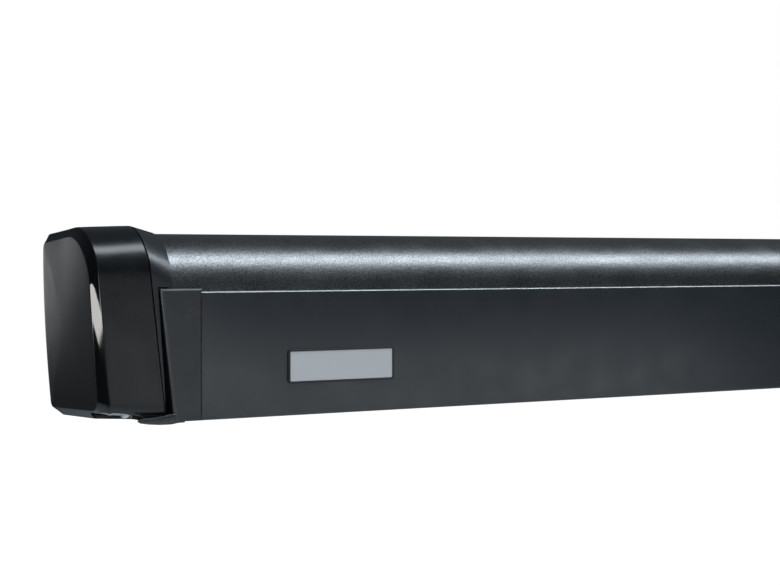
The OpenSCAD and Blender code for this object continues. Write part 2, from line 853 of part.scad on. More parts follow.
module rail_cap(side) {
    box_floor = shelf_z + rail_wall;
    color(anthracite) to_side(side) {
        along_y(skin_back, skin_front) polygon([
            [-leaning_x(rail_cap_x, rail_cap_bottom), rail_cap_bottom],
            [-leaning_x(rail_cap_x, rail_cap_top), rail_cap_top],
            [-rail_border_x, rail_cap_top],
            [-rail_border_x, rail_cap_bottom],
        ]);
        along_y(rail_back - 0.2, skin_front) leaning_strip(rail_cap_wall);
        along_y(rail_back - 20, rail_back) intersection() {
            leaning_strip(rail_cap_wall);
            translate([-half_length, 0]) square([200, hood_lip - 2]);
        }
        along_x(-rail_cap_x + 1, -rail_border_x - 2) difference() {
            bar(box_rear + rail_wall + plug_clearance, rail_back - rail_wall - plug_clearance,
                box_floor + plug_clearance, box_top - rail_wall - plug_clearance);
            bar(box_rear + rail_wall + 2, rail_back - rail_wall - 2, box_floor + 2, box_top - rail_wall - 2);
        }
        along_x(-seam_x + 5, -rail_half + 4) bar(rail_back - 18, skin_front, -3.5, rail_cap_bottom + 0.5);
        along_y(rail_back - 3, skin_front) polygon([
            [-seam_x - 12, rail_cap_bottom + 0.5],
            [-seam_x - 12, rail_cap_bottom],
            [-seam_x - 6, -3.5],
            [-seam_x + 8, -4.6],
            [-seam_x + 19, -3.5],
            [-rail_half + 4, -3.5],
            [-rail_half + 4, rail_cap_bottom + 0.5],
        ]);
    }
}

// Front brackets carry the forearms under the rail's shelf
module front_bracket(side) {
    color(cast_grey) to_side(side) difference() {
        union() {
            along_x(-shoulder_x - 14, -shoulder_x + 14) {
                bar(web_rear, rail_back - 2, shelf_z - 6, shelf_z);
                bar(web_rear, web_front, 7, shelf_z);
            }
            intersection() {
                arm_frame() translate([0, -lane, 0]) mirror([0, 1, 0]) ears(30);
                translate([-shoulder_x - 40, -web_front, -20]) cube([80, web_front, 100]);
            }
        }
        arm_frame() translate([0, -lane, 0]) cylinder(r = pin_radius + 0.01, h = cut_length, center = true);
    }
}

module front_pins() {
    color(bare_steel) for (side = [left, right])
        to_side(side) arm_frame() translate([0, -lane, 0]) arm_pin();
}

// Leg hinges: two ears and a pin each, hung under the rail's shelf
module leg_hinges() {
    ear_from = leg_thickness / 2 + side_clearance;
    color(cast_grey) for (side = [left, right]) {
        leg_frame(side) {
            for (s = [-1, 1]) translate([0, s * (ear_from + leg_ear / 2), 0]) {
                y_cylinder(11, leg_ear);
                translate([-11, -leg_ear / 2, 0]) cube([22, leg_ear, shelf_z - leg_height]);
            }
            y_cylinder(leg_pin_radius, 2 * (ear_from + leg_ear) + 1);
        }
        to_side(side) along_x(-leg_pivot_x - 11, -leg_pivot_x + 11)
            bar(leg_lane(side) - ear_from - leg_ear, rail_back - 1.2, shelf_z - 7, shelf_z);
    }
}

// Support legs
inner_thickness = leg_thickness - 2 * leg_wall - 2 * side_clearance;
inner_width = leg_width - 2 * leg_wall - 2 * side_clearance;
clamp_width = leg_width + 6;
clamp_thickness = leg_thickness + 1.2;
lever_z = -clamp_width / 2 - 2.5;
lever_x = leg_length + 5;

module leg_tube(side) {
    color(cast_grey) leg_frame(side) difference() {
        union() {
            along_x(14, leg_length) tube_section(leg_thickness, leg_width, 4, leg_wall);
            along_x(13, 46) rounded_rect(leg_thickness - leg_wall, leg_width - leg_wall, 3);
            y_cylinder(13, leg_thickness - 0.6);
            along_x(0, 16) square([leg_thickness - 0.6, 24], center = true);
        }
        y_cylinder(leg_pin_radius + pin_clearance, cut_length);
    }
}

// Clamp on the mouth of the outer leg, with the pin of its lever
module leg_clamp(side) {
    color(plastic_black) leg_frame(side) {
        difference() {
            union() {
                along_x(leg_length - 30, leg_length + 12) rounded_rect(clamp_thickness, clamp_width, 5);
                for (s = [-1, 1]) translate([lever_x, s * (leg_thickness / 2 - 0.1), 0]) {
                    translate([0, 0, lever_z]) y_cylinder(3, 1.2);
                    translate([-3, -0.6, lever_z]) cube([6, 1.2, 9]);
                }
            }
            along_x(leg_length - 31, leg_length)
                rounded_rect(leg_thickness + 0.04, leg_width + 0.04, 4);
            along_x(leg_length - 1, leg_length + 13)
                rounded_rect(inner_thickness + 2 * side_clearance, inner_width + 2 * side_clearance, 3);
        }
        translate([lever_x, 0, lever_z]) y_cylinder(1.5, leg_thickness);
    }
}

module leg_lever(side) {
    color(plastic_black) leg_frame(side) translate([lever_x, 0, lever_z]) difference() {
        union() {
            y_cylinder(2.1, leg_thickness - 3);
            along_x(-58, 0) translate([0, -0.4]) rounded_rect(leg_thickness - 3, 3.4, 1.2);
        }
        y_cylinder(1.5 + pin_clearance, cut_length);
    }
}

foot_pivot = leg_length + 36;
foot_pin = 2;

module inner_leg(side) {
    color(bare_steel) leg_frame(side) {
        along_x(60, leg_length + 24) tube_section(inner_thickness, inner_width, 3, 1.3);
        along_x(leg_length + 4, leg_length + 27) rounded_rect(inner_thickness - 1.3, inner_width - 1.3, 2);
        translate([foot_pivot, 0, 0]) {
            y_cylinder(5, 6);
            y_cylinder(foot_pin, leg_thickness - 0.6);
        }
        along_x(leg_length + 26, foot_pivot - 1) square([6, 8], center = true);
    }
}

// Foot with two ears on the pin and a rounded sole
module foot(side) {
    color(plastic_black) leg_frame(side) translate([foot_pivot, 0, 0]) difference() {
        union() {
            along_x(6, 13) rounded_rect(leg_thickness, clamp_width + 2, 5);
            for (s = [-1, 1]) translate([0, s * 4.5, 0]) {
                y_cylinder(5, 2.2);
                translate([0, -1.1, -5]) cube([7, 2.2, 10]);
            }
        }
        y_cylinder(foot_pin + pin_clearance, cut_length);
    }
}

// Lower the whole part so that the origin is the centre of the wall bolts
module placed() {
    translate([0, 0, -mount_height]) children();
}

placed() casing();
placed() hood_seal();
placed() wall_brackets();
placed() bracket_screws();
placed() end_plate_screws();
placed() end_plate(left);  // left_end_plate
placed() end_plate(right);  // right_end_plate
placed() collar(left);  // left_collar
placed() collar(right);  // right_collar
placed() end_cap(left);  // left_end_cap
placed() end_cap(right);  // right_end_cap
placed() shoulder_bracket(left);  // left_shoulder_bracket
placed() shoulder_bracket(right);  // right_shoulder_bracket
placed() shoulder_pins();
placed() gear_housing();
placed() worm_shaft();
placed() crank_eye();
placed() roller_tube();
placed() drive_plug();
placed() idler_plug();
placed() worm_wheel();
placed() cloth_roll();
placed() cloth_run();
placed() upper_tube(left);  // left_upper_tube
placed() shoulder_knuckle(left);  // left_shoulder_knuckle
placed() elbow_fork(left);  // left_elbow_fork
placed() elbow_pin(left);  // left_elbow_pin
placed() strut(left);  // left_strut
placed() strut_rod(left);  // left_strut_rod
placed() fore_tube(left);  // left_fore_tube
placed() elbow_knuckle(left);  // left_elbow_knuckle
placed() front_knuckle(left);  // left_front_knuckle
placed() upper_tube(right);  // right_upper_tube
placed() shoulder_knuckle(right);  // right_shoulder_knuckle
placed() elbow_fork(right);  // right_elbow_fork
placed() elbow_pin(right);  // right_elbow_pin
placed() strut(right);  // right_strut
placed() strut_rod(right);  // right_strut_rod
placed() fore_tube(right);  // right_fore_tube
placed() elbow_knuckle(right);  // right_elbow_knuckle
placed() front_knuckle(right);  // right_front_knuckle
placed() lead_rail();
placed() rail_beam();
placed() rail_cap(left);  // left_rail_cap
placed() rail_cap(right);  // right_rail_cap
placed() front_bracket(left);  // left_front_bracket
placed() front_bracket(right);  // right_front_bracket
placed() front_pins();
placed() leg_hinges();
placed() leg_tube(left);  // left_leg_tube
placed() leg_clamp(left);  // left_leg_clamp
placed() leg_lever(left);  // left_leg_lever
placed() inner_leg(left);  // left_inner_leg
placed() foot(left);  // left_foot
placed() leg_tube(right);  // right_leg_tube
placed() leg_clamp(right);  // right_leg_clamp
placed() leg_lever(right);  // right_leg_lever
placed() inner_leg(right);  // right_inner_leg
placed() foot(right);  // right_foot
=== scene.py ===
# %% [markdown]
# # A roll out cassette awning, closed
#
# The awning hangs on the wall of a camper as a long closed box: a rounded hood above, a tall lead rail
# below, and a moulded cap on each end. The solids come from CAD and stay where they are. This lesson
# gives them their finishes, and makes the pieces that look better as Blender meshes: the end caps,
# the softened edges, the cloth, the small fasteners and a blank plate.

# %% Load the frame
import json
import math

import bmesh
import bpy
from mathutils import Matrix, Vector
from mathutils.bvhtree import BVHTree


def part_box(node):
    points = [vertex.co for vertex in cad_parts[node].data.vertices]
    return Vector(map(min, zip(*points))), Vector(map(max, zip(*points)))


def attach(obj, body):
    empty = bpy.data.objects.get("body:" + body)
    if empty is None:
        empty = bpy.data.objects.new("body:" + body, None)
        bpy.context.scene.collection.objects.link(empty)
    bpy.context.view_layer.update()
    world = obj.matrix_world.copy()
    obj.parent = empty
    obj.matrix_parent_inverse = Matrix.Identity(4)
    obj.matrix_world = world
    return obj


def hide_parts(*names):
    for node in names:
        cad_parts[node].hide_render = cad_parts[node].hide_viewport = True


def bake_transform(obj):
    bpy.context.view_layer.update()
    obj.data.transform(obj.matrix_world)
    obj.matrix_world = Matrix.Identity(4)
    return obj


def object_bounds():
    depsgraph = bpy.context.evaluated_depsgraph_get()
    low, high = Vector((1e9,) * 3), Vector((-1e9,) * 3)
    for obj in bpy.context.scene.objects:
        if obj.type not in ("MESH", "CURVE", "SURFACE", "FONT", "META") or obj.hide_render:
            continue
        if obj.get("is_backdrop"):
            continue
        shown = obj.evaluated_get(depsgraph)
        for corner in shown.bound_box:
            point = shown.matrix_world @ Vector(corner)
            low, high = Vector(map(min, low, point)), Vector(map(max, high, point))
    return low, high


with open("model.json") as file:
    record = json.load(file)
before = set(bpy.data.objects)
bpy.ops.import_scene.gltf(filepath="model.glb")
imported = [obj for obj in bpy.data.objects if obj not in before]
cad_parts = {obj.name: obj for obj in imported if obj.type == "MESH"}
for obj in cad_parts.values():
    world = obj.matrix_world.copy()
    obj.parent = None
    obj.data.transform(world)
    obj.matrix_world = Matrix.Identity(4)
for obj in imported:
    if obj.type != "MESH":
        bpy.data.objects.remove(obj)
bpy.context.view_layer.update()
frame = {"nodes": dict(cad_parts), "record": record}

nodes = frame["nodes"]
scene = bpy.context.scene

# %% [markdown]
# ## Camera
#
# The photograph is taken from the left front, a little above the middle of the rail. A camera is a
# point, a direction and a lens. The lens follows from the focal length in pixels: the sensor is 36 mm
# wide and the picture 780 pixels.

# %% Camera
PICTURE_WIDTH = 780
FOCAL_PIXELS = 1600.0
SENSOR_WIDTH = 36.0
CAMERA_PLACE = Vector((-1.3140, -1.0800, 0.0459))
CAMERA_YAW, CAMERA_PITCH = 0.5329, 0.02136
NEAREST, FARTHEST = 0.01, 200.0

camera_data = bpy.data.cameras.new("photo_camera")
camera_data.sensor_width = SENSOR_WIDTH
camera_data.lens = FOCAL_PIXELS / PICTURE_WIDTH * SENSOR_WIDTH
camera_data.clip_start = NEAREST
camera_data.clip_end = FARTHEST
camera = bpy.data.objects.new("photo_camera", camera_data)
scene.collection.objects.link(camera)
look = Vector((
    math.sin(CAMERA_YAW) * math.cos(CAMERA_PITCH),
    math.cos(CAMERA_YAW) * math.cos(CAMERA_PITCH),
    -math.sin(CAMERA_PITCH),
))
camera.location = CAMERA_PLACE
camera.rotation_mode = "QUATERNION"
camera.rotation_quaternion = look.to_track_quat("-Z", "Y")
scene.camera = camera
print("Lens in mm:", round(camera_data.lens, 2))

# %% [markdown]
# ## Node trees
#
# The light, the finishes and the repeated pieces are all trees of nodes, with links from the output of
# one node to the input of the next. A helper that makes a node and fills its inputs in one call keeps
# such a tree short enough to read: each input gets a value, a node, or one named output of a node.

# %% Node helpers


def socket(sockets, key):
    """The socket with this number, or the first one in use with this name."""
    if isinstance(key, int):
        return sockets[key]
    return next(s for s in sockets if s.name == key and s.enabled)


def add_node(tree, kind, entries=None, **settings):
    """A node of this kind with its properties set and its inputs filled or linked."""
    node = tree.nodes.new(kind)
    for key, value in settings.items():
        setattr(node, key, value)
    for entry, source in (entries or {}).items():
        into = socket(node.inputs, entry)
        if isinstance(source, bpy.types.Node):
            tree.links.new(source.outputs[0], into)
        elif isinstance(source, tuple) and isinstance(source[0], bpy.types.Node):
            tree.links.new(socket(source[0].outputs, source[1]), into)
        else:
            into.default_value = source
    return node


def maths(tree, operation, *entries):
    """A Math node on one, two or three entries."""
    return add_node(tree, "ShaderNodeMath", dict(enumerate(entries)), operation=operation)


def mixed(tree, factor, a, b, **settings):
    """The colour output of a Mix node."""
    entries = {"Factor": factor, "A": a, "B": b}
    return add_node(tree, "ShaderNodeMix", entries, data_type="RGBA", **settings), "Result"


# %% [markdown]
# ## Studio
#
# The background of the photograph is plain white. Here the world is white wherever the camera sees it,
# and the object is lit by a weaker, even sky and by soft lamps. A shiny surface mirrors a dim room
# instead, so that the lamps draw clear shapes on the dark paint, as they do in the photograph.

# %% World
scene.view_settings.view_transform = "Standard"
WHITE = (1, 1, 1, 1)
SKY_COLOUR = (0.93, 0.96, 1.0, 1)
SKY_LEVEL = 0.55
MIRRORED_TINT = (0.80, 0.94, 1.05)
MIRRORED_LEVELS = ((0.0, 0.75), (0.18, 0.70), (0.36, 0.03), (0.485, 0.015), (0.58, 0.02), (0.70, 0.11))

world = bpy.data.worlds.new("studio_world")
scene.world = world
world.use_nodes = True
sky = world.node_tree
sky.nodes.clear()
direction = add_node(sky, "ShaderNodeTexCoord")
height = add_node(sky, "ShaderNodeSeparateXYZ", {"Vector": (direction, "Generated")})
shift = add_node(sky, "ShaderNodeMapRange", {"Value": (height, "Z"), "From Min": -1.0, "From Max": 1.0})
horizon = add_node(sky, "ShaderNodeValToRGB", {"Fac": shift})
ramp = horizon.color_ramp
while len(ramp.elements) < len(MIRRORED_LEVELS):
    ramp.elements.new(0.5)
for element, (place, level) in zip(ramp.elements, MIRRORED_LEVELS):
    element.position = place
    element.color = (*[level * share for share in MIRRORED_TINT], 1)

rays = add_node(sky, "ShaderNodeLightPath")
even_light = add_node(sky, "ShaderNodeBackground", {"Color": SKY_COLOUR, "Strength": SKY_LEVEL})
mirrored = add_node(sky, "ShaderNodeBackground", {"Color": horizon, "Strength": 1.0})
white_seen = add_node(sky, "ShaderNodeBackground", {"Color": WHITE, "Strength": 1.0})
room = add_node(sky, "ShaderNodeMixShader", {0: (rays, "Is Glossy Ray"), 1: even_light, 2: mirrored})
seen_direct = maths(sky, "MAXIMUM", (rays, "Is Camera Ray"), (rays, "Is Transmission Ray"))
surroundings = add_node(sky, "ShaderNodeMixShader", {0: seen_direct, 1: room, 2: white_seen})
add_node(sky, "ShaderNodeOutputWorld", {"Surface": surroundings})
print("Sky level:", SKY_LEVEL)

# %% [markdown]
# The floor lies as far below the awning as the ground below a camper's roof. It gets its finish later.

# %% Floor
FLOOR_HEIGHT = -2.06
FLOOR_HALF = 40.0
FLOOR_CORNERS = ((-1, -1), (1, -1), (1, 1), (-1, 1))

floor_mesh = bpy.data.meshes.new("floor")
floor_mesh.from_pydata(
    [(sx * FLOOR_HALF, sy * FLOOR_HALF, FLOOR_HEIGHT) for sx, sy in FLOOR_CORNERS], [], [(0, 1, 2, 3)])
floor = bpy.data.objects.new("floor", floor_mesh)
scene.collection.objects.link(floor)
floor.visible_glossy = False
floor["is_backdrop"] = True
print("Floor at", FLOOR_HEIGHT)

# %% [markdown]
# ## Lamps
#
# The long bright line on the hood is the picture of a strip light. A highlight shows where the surface
# mirrors the camera's ray into the lamp, so the ray's bounce off the hood gives the place of the strip:
# up, in front and to the right. The other lamps are placed in the same way. A board low in front and a
# narrow strip above it make the lead rail lighter towards its lower edge, and a short strip does so for
# the front of the left cap. A panel on the left shows as the pale shape in the cap's gloss band, a
# second one beside it lights the rounded edges there, and one behind brings up the end face.

# %% Lamps
COOL_WHITE = (0.92, 0.97, 1.0)
LAMPS = (
    # name, place, target, width, depth, power, colour
    ("strip_light", (0.50, -0.78, 1.62), (0.50, -0.05, 0.0), 2.8, 0.52, 32.5, (0.82, 0.92, 1.0)),
    ("bounce_board", (0.30, -2.10, -0.80), (0.30, -0.10, -0.02), 4.2, 0.9, 4.5, COOL_WHITE),
    ("low_strip", (0.68, -2.10, -0.24), (0.68, -0.10, -0.24), 1.40, 0.15, 0.86, COOL_WHITE),
    ("cap_strip", (-0.27, -2.10, -0.165), (-0.27, -0.10, -0.165), 0.46, 0.12, 0.45, COOL_WHITE),
    ("band_panel", (-2.85, -0.15, -0.208), (-0.95, -0.1, 0.0), 0.36, 0.18, 2.4, (1.0, 0.99, 0.98)),
    ("edge_panel", (-2.70, -0.95, -0.17), (-0.93, -0.1, -0.02), 0.50, 0.20, 0.9, (0.95, 0.98, 1.0)),
    ("rear_panel", (-1.38, 2.40, 0.06), (-0.95, -0.05, 0.03), 0.8, 0.45, 1.7, (0.95, 0.97, 1.0)),
)


def soft_panel(name, place, target, width, depth, power, colour):
    """A rectangular lamp that faces a target point."""
    data = bpy.data.lights.new(name, "AREA")
    data.shape = "RECTANGLE"
    data.size = width
    data.size_y = depth
    data.energy = power
    data.color = colour
    lamp = bpy.data.objects.new(name, data)
    scene.collection.objects.link(lamp)
    lamp.visible_camera = False
    lamp.location = place
    lamp.rotation_mode = "QUATERNION"
    lamp.rotation_quaternion = (Vector(target) - Vector(place)).to_track_quat("-Z", "Y")


for row in LAMPS:
    soft_panel(*row)
print("Lamps:", [row[0] for row in LAMPS])

# %% [markdown]
# ## Finishes
#
# No real surface is one flat colour. Each finish here has three layers of noise: a slow one that mottles
# the colour, a middle one that varies the roughness, and a fine one that is the grain itself, as bump.
# The Bevel node rounds hard edges in the shading, and where it turns the normal away from the face there
# is an edge, so the same node tells where the finish is worn.

# %% Finish helper
ROUGHNESS_SCALE = 46.0
LEAST_ROUGHNESS = 0.02
EDGE_TURN, FULL_TURN = 0.985, 0.90


def finish(name, colour, rough, grain=(900.0, 0.00004), mottle=0.10, spread=0.06, worn=None,
           edge=0.0006, metal=0.0, specular=0.3, stretch=(1, 1, 1), mottle_scale=9.0, speckle=0.0):
    """A surface finish with mottled colour, varied roughness, a grain and worn edges."""
    material = bpy.data.materials.new(name)
    material.use_nodes = True
    tree = material.node_tree
    tree.nodes.clear()
    place = add_node(tree, "ShaderNodeTexCoord")
    scaled = add_node(tree, "ShaderNodeMapping", {"Vector": (place, "Object"), "Scale": stretch})
    slow, middle, fine = (
        add_node(tree, "ShaderNodeTexNoise", {"Vector": scaled, "Scale": scale, "Detail": detail})
        for scale, detail in ((mottle_scale, 5.0), (ROUGHNESS_SCALE, 3.0), (grain[0], 2.0)))
    dark, pale = ((*[c * level for c in colour], 1) for level in (1 - mottle, 1 + mottle))
    tones = mixed(tree, slow, dark, pale)
    gloss = add_node(tree, "ShaderNodeMapRange", {
        "Value": middle, "From Min": 0.3, "From Max": 0.7,
        "To Min": max(rough - spread, LEAST_ROUGHNESS), "To Max": rough + spread})
    rounded = add_node(tree, "ShaderNodeBevel", {"Radius": edge}, samples=4)
    bump = add_node(tree, "ShaderNodeBump", {
        "Strength": 1.0, "Distance": grain[1], "Height": fine, "Normal": rounded})
    if speckle:
        flecks = add_node(tree, "ShaderNodeMapRange", {
            "Value": fine, "From Min": 0.36, "From Max": 0.64, "To Min": 1 - speckle, "To Max": 1 + speckle})
        tones = mixed(tree, 1.0, tones, flecks, blend_type="MULTIPLY")
    if worn:
        flat = add_node(tree, "ShaderNodeNewGeometry")
        turn = add_node(tree, "ShaderNodeVectorMath", {0: rounded, 1: (flat, "Normal")},
                        operation="DOT_PRODUCT")
        rim = add_node(tree, "ShaderNodeMapRange", {
            "Value": (turn, "Value"), "From Min": EDGE_TURN, "From Max": FULL_TURN})
        tones = mixed(tree, maths(tree, "MULTIPLY", rim, middle), tones, (*worn, 1))
    shader = add_node(tree, "ShaderNodeBsdfPrincipled", {
        "Base Color": tones, "Roughness": gloss, "Normal": bump,
        "Metallic": metal, "Specular IOR Level": specular})
    add_node(tree, "ShaderNodeOutputMaterial", {"Surface": shader})
    return material


# %% [markdown]
# The floor is pale. To the camera it also glows a little, so that it meets the white background without
# an edge and still takes the awning's shadow. From below it is clear.

# %% Floor finish
FLOOR_GLOW = 0.64
floor_pale = finish("floor_pale", (0.80, 0.80, 0.80), 0.8, (30.0, 0.0004), 0.02,
                    specular=0.1, mottle_scale=0.7)
floor_mesh.materials.append(floor_pale)
floor_tree = floor_pale.node_tree
floor_shader = next(n for n in floor_tree.nodes if n.type == "BSDF_PRINCIPLED")
floor_out = next(n for n in floor_tree.nodes if n.type == "OUTPUT_MATERIAL")
floor_rays = add_node(floor_tree, "ShaderNodeLightPath")
floor_glow = maths(floor_tree, "MULTIPLY", (floor_rays, "Is Camera Ray"), FLOOR_GLOW)
floor_shader.inputs["Emission Color"].default_value = WHITE
floor_tree.links.new(floor_glow.outputs[0], floor_shader.inputs["Emission Strength"])
floor_face = add_node(floor_tree, "ShaderNodeNewGeometry")
floor_clear = add_node(floor_tree, "ShaderNodeBsdfTransparent")
floor_sides = add_node(floor_tree, "ShaderNodeMixShader", {
    0: (floor_face, "Backfacing"), 1: floor_shader, 2: floor_clear})
floor_tree.links.new(floor_sides.outputs[0], floor_out.inputs["Surface"])
print("Floor glow:", FLOOR_GLOW)

# %% [markdown]
# The painted profiles are dark anthracite. The hood has a coarse powder coat that sparkles where the
# light strikes it, the lead rail a smoother coat with a blue cast. The moulded caps are satin black
# with a gloss band. The finishes stand in a table, one row each, so that they are easy to compare.

# %% Finishes of the awning
FINISHES = {
    # colour, roughness, (grain scale, grain height), mottle, spread, worn colour, edge radius, the rest
    "hood_coat": ((0.194, 0.196, 0.198), 0.32, (1050.0, 0.00012), 0.06, 0.04, None, 0.0006,
                  dict(metal=0.99, specular=0.5, speckle=0.34)),
    "rail_coat": ((0.0150, 0.0195, 0.0240), 0.18, (2600.0, 0.00002), 0.07, 0.03, (0.10, 0.105, 0.115),
                  0.0008, dict(specular=0.8)),
    # A paler, more mirror-like finish for the rail's upper front edge: a painted highlight.
    "rail_lip_highlight": ((0.33, 0.34, 0.35), 0.26, (1500.0, 0.00002), 0.06, 0.05, (0.60, 0.61, 0.63), 0.0004,
                 dict(metal=0.95, stretch=(0.05, 1, 1))),
    "cap_satin": ((0.0040, 0.0050, 0.0062), 0.25, (2100.0, 0.00003), 0.10, 0.04, (0.03, 0.03, 0.032),
                  0.0005, dict(specular=0.60)),
    "cap_gloss": ((0.004, 0.004, 0.005), 0.05, (300.0, 0.000004), 0.06, 0.02, None, 0.0004,
                  dict(specular=0.5)),
    "cap_face": ((0.012, 0.0125, 0.013), 0.34, (2300.0, 0.00004), 0.06, 0.02, (0.05, 0.05, 0.052),
                 0.0005, dict(specular=0.28)),
    "collar_satin": ((0.012, 0.0140, 0.0170), 0.31, (1900.0, 0.00004), 0.08, 0.05, (0.05, 0.053, 0.057),
                     0.0006, dict(specular=1.0)),
    # A paler finish for the rounded upper and outer edges of the rail caps: a painted highlight.
    "cap_lip_highlight": ((0.055, 0.058, 0.063), 0.30, (1900.0, 0.00003), 0.08, 0.05, (0.09, 0.093, 0.098),
                0.0004, dict(specular=1.0)),
    # A pale grey for the bead on the mouth's lip: a painted highlight.
    "mouth_lip_highlight": ((0.36, 0.365, 0.37), 0.40, (1900.0, 0.00003), 0.14, 0.08, (0.46, 0.465, 0.47),
                     0.0004, dict(specular=0.6)),
    "cast_alloy": ((0.42, 0.43, 0.45), 0.52, (520.0, 0.00014), 0.10, 0.08, (0.62, 0.63, 0.65), 0.0009,
                   dict(metal=0.9)),
    "mill_alloy": ((0.60, 0.61, 0.63), 0.36, (420.0, 0.00003), 0.06, 0.08, (0.74, 0.75, 0.77), 0.0006,
                   dict(metal=1.0, stretch=(0.03, 1, 1))),
    "arm_enamel": ((0.30, 0.31, 0.33), 0.42, (1500.0, 0.00004), 0.06, 0.05, (0.46, 0.47, 0.49), 0.0007,
                   dict()),
    "leg_anodised": ((0.53, 0.54, 0.56), 0.40, (520.0, 0.00002), 0.05, 0.06, (0.68, 0.69, 0.71), 0.0006,
                     dict(metal=0.95, stretch=(0.03, 1, 1))),
    "zinc_steel": ((0.58, 0.59, 0.61), 0.30, (700.0, 0.00002), 0.08, 0.10, (0.74, 0.75, 0.77), 0.0004,
                   dict(metal=1.0)),
    "gear_bronze": ((0.60, 0.43, 0.19), 0.34, (800.0, 0.00003), 0.12, 0.08, (0.78, 0.62, 0.34), 0.0004,
                    dict(metal=1.0)),
    "moulded_black": ((0.030, 0.030, 0.032), 0.50, (1500.0, 0.00006), 0.10, 0.06, (0.09, 0.09, 0.095),
                      0.0006, dict()),
    "seal_rubber": ((0.022, 0.022, 0.023), 0.72, (1300.0, 0.00008), 0.12, 0.06, (0.06, 0.06, 0.06),
                    0.0006, dict(specular=0.2)),
    "plate_silver": ((0.56, 0.58, 0.60), 0.36, (900.0, 0.00003), 0.05, 0.06, (0.80, 0.81, 0.83), 0.0004,
                     dict(metal=0.25, stretch=(0.05, 1, 1))),
}
coats = {name: finish(name, *values, **rest) for name, (*values, rest) in FINISHES.items()}
print("Finishes:", len(coats))

# %% [markdown]
# The record names a material slot for each node, and each slot takes one of the finishes. A node keeps
# its own mesh and only changes its material.

# %% Finishes of the nodes
COAT_OF_SLOT = {
    "casing_coat": "hood_coat", "rail_coat": "rail_coat", "cap_plastic": "cap_satin",
    "collar_plastic": "collar_satin", "cast_alloy": "cast_alloy", "bare_alloy": "mill_alloy",
    "arm_coat": "arm_enamel", "leg_alloy": "leg_anodised", "steel": "zinc_steel", "bronze": "gear_bronze",
    "black_plastic": "moulded_black", "seal_rubber": "seal_rubber",
}
slot_of_node = {row["node"]: row["material_slot"] for row in frame["record"]["subparts"]}
body_of_node = {
    name: body for body, names in frame["record"]["behaviour"]["bodies"].items() for name in names
}
coated = [name for name in nodes if slot_of_node[name] in COAT_OF_SLOT]
for name in coated:
    nodes[name].data.materials.clear()
    nodes[name].data.materials.append(coats[COAT_OF_SLOT[slot_of_node[name]]])
print("Nodes with a finish:", len(coated))

# %% [markdown]
# ## Mesh helpers
#
# Most pieces start as points and faces and are finished by a modifier. The modifier's result is made a
# plain mesh at once, so that what is exported is what is seen. Its faces are shaded smooth, and edges
# that turn by more than a set angle stay sharp.

# %% Mesh helpers
ROUNDING_SEGMENTS = 3


def mesh_piece(name, mesh):
    """An object with this mesh, at the origin."""
    piece = bpy.data.objects.new(name, mesh)
    scene.collection.objects.link(piece)
    return piece


def evaluated_mesh(source):
    """A plain mesh of an object as its modifiers or its curve bevel make it."""
    bpy.context.view_layer.update()
    return bpy.data.meshes.new_from_object(source.evaluated_get(bpy.context.evaluated_depsgraph_get()))


def shade_smooth(mesh):
    """Shade every face smooth."""
    mesh.polygons.foreach_set("use_smooth", [True] * len(mesh.polygons))


def settle(piece, smooth_degrees=32.0):
    """Turn the piece's modifiers into plain mesh, smooth but for its sharp edges."""
    made = evaluated_mesh(piece)
    piece.modifiers.clear()
    made.name = piece.name
    piece.data = made
    shade_smooth(made)
    made.set_sharp_from_angle(angle=math.radians(smooth_degrees))
    made.update()
    return piece


def round_edges(piece, width, method, **settings):
    """Give the piece a Bevel modifier."""
    bevel = piece.modifiers.new("rounding", "BEVEL")
    bevel.width = width
    bevel.segments = ROUNDING_SEGMENTS
    bevel.limit_method = method
    for key, value in settings.items():
        setattr(bevel, key, value)


def mesh_from(shape, name, materials):
    """A mesh with these materials from a bmesh, which is freed."""
    mesh = bpy.data.meshes.new(name)
    shape.to_mesh(mesh)
    shape.free()
    for material in materials:
        mesh.materials.append(material)
    return mesh


# %% [markdown]
# ## Softened edges
#
# CAD edges are perfectly sharp, and a real extrusion or moulding never is: the light line along the top
# of the lead rail is the picture of the lamp in its rounded edge. A copy of a node's mesh has its
# triangles merged into flat faces, then the Bevel modifier rounds each edge that turns by more than a
# set angle, by a weight for each edge. The copy rides where the node does and stands for it.

# %% Softened copies
MERGE_DISTANCE = 2e-6
FLAT_DEGREES, HARD_DEGREES = 0.4, 40.0
FRONT_MARGIN = 0.0003
TAB_WEIGHT = 0.03


def edge_weights(mesh, ratio, lowest):
    """Mark hard edges: fully on the front face, by a ratio elsewhere, hardly below a height."""
    shape = bmesh.new()
    shape.from_mesh(mesh)
    weight = shape.edges.layers.float.new("bevel_weight_edge")
    front = min(v.co.y for v in shape.verts) + FRONT_MARGIN
    for edge in shape.edges:
        if edge.is_manifold and edge.calc_face_angle() > math.radians(HARD_DEGREES):
            edge[weight] = 1.0 if all(v.co.y < front for v in edge.verts) else ratio
            if max(v.co.z for v in edge.verts) < lowest:
                edge[weight] = TAB_WEIGHT
    shape.to_mesh(mesh)
    shape.free()


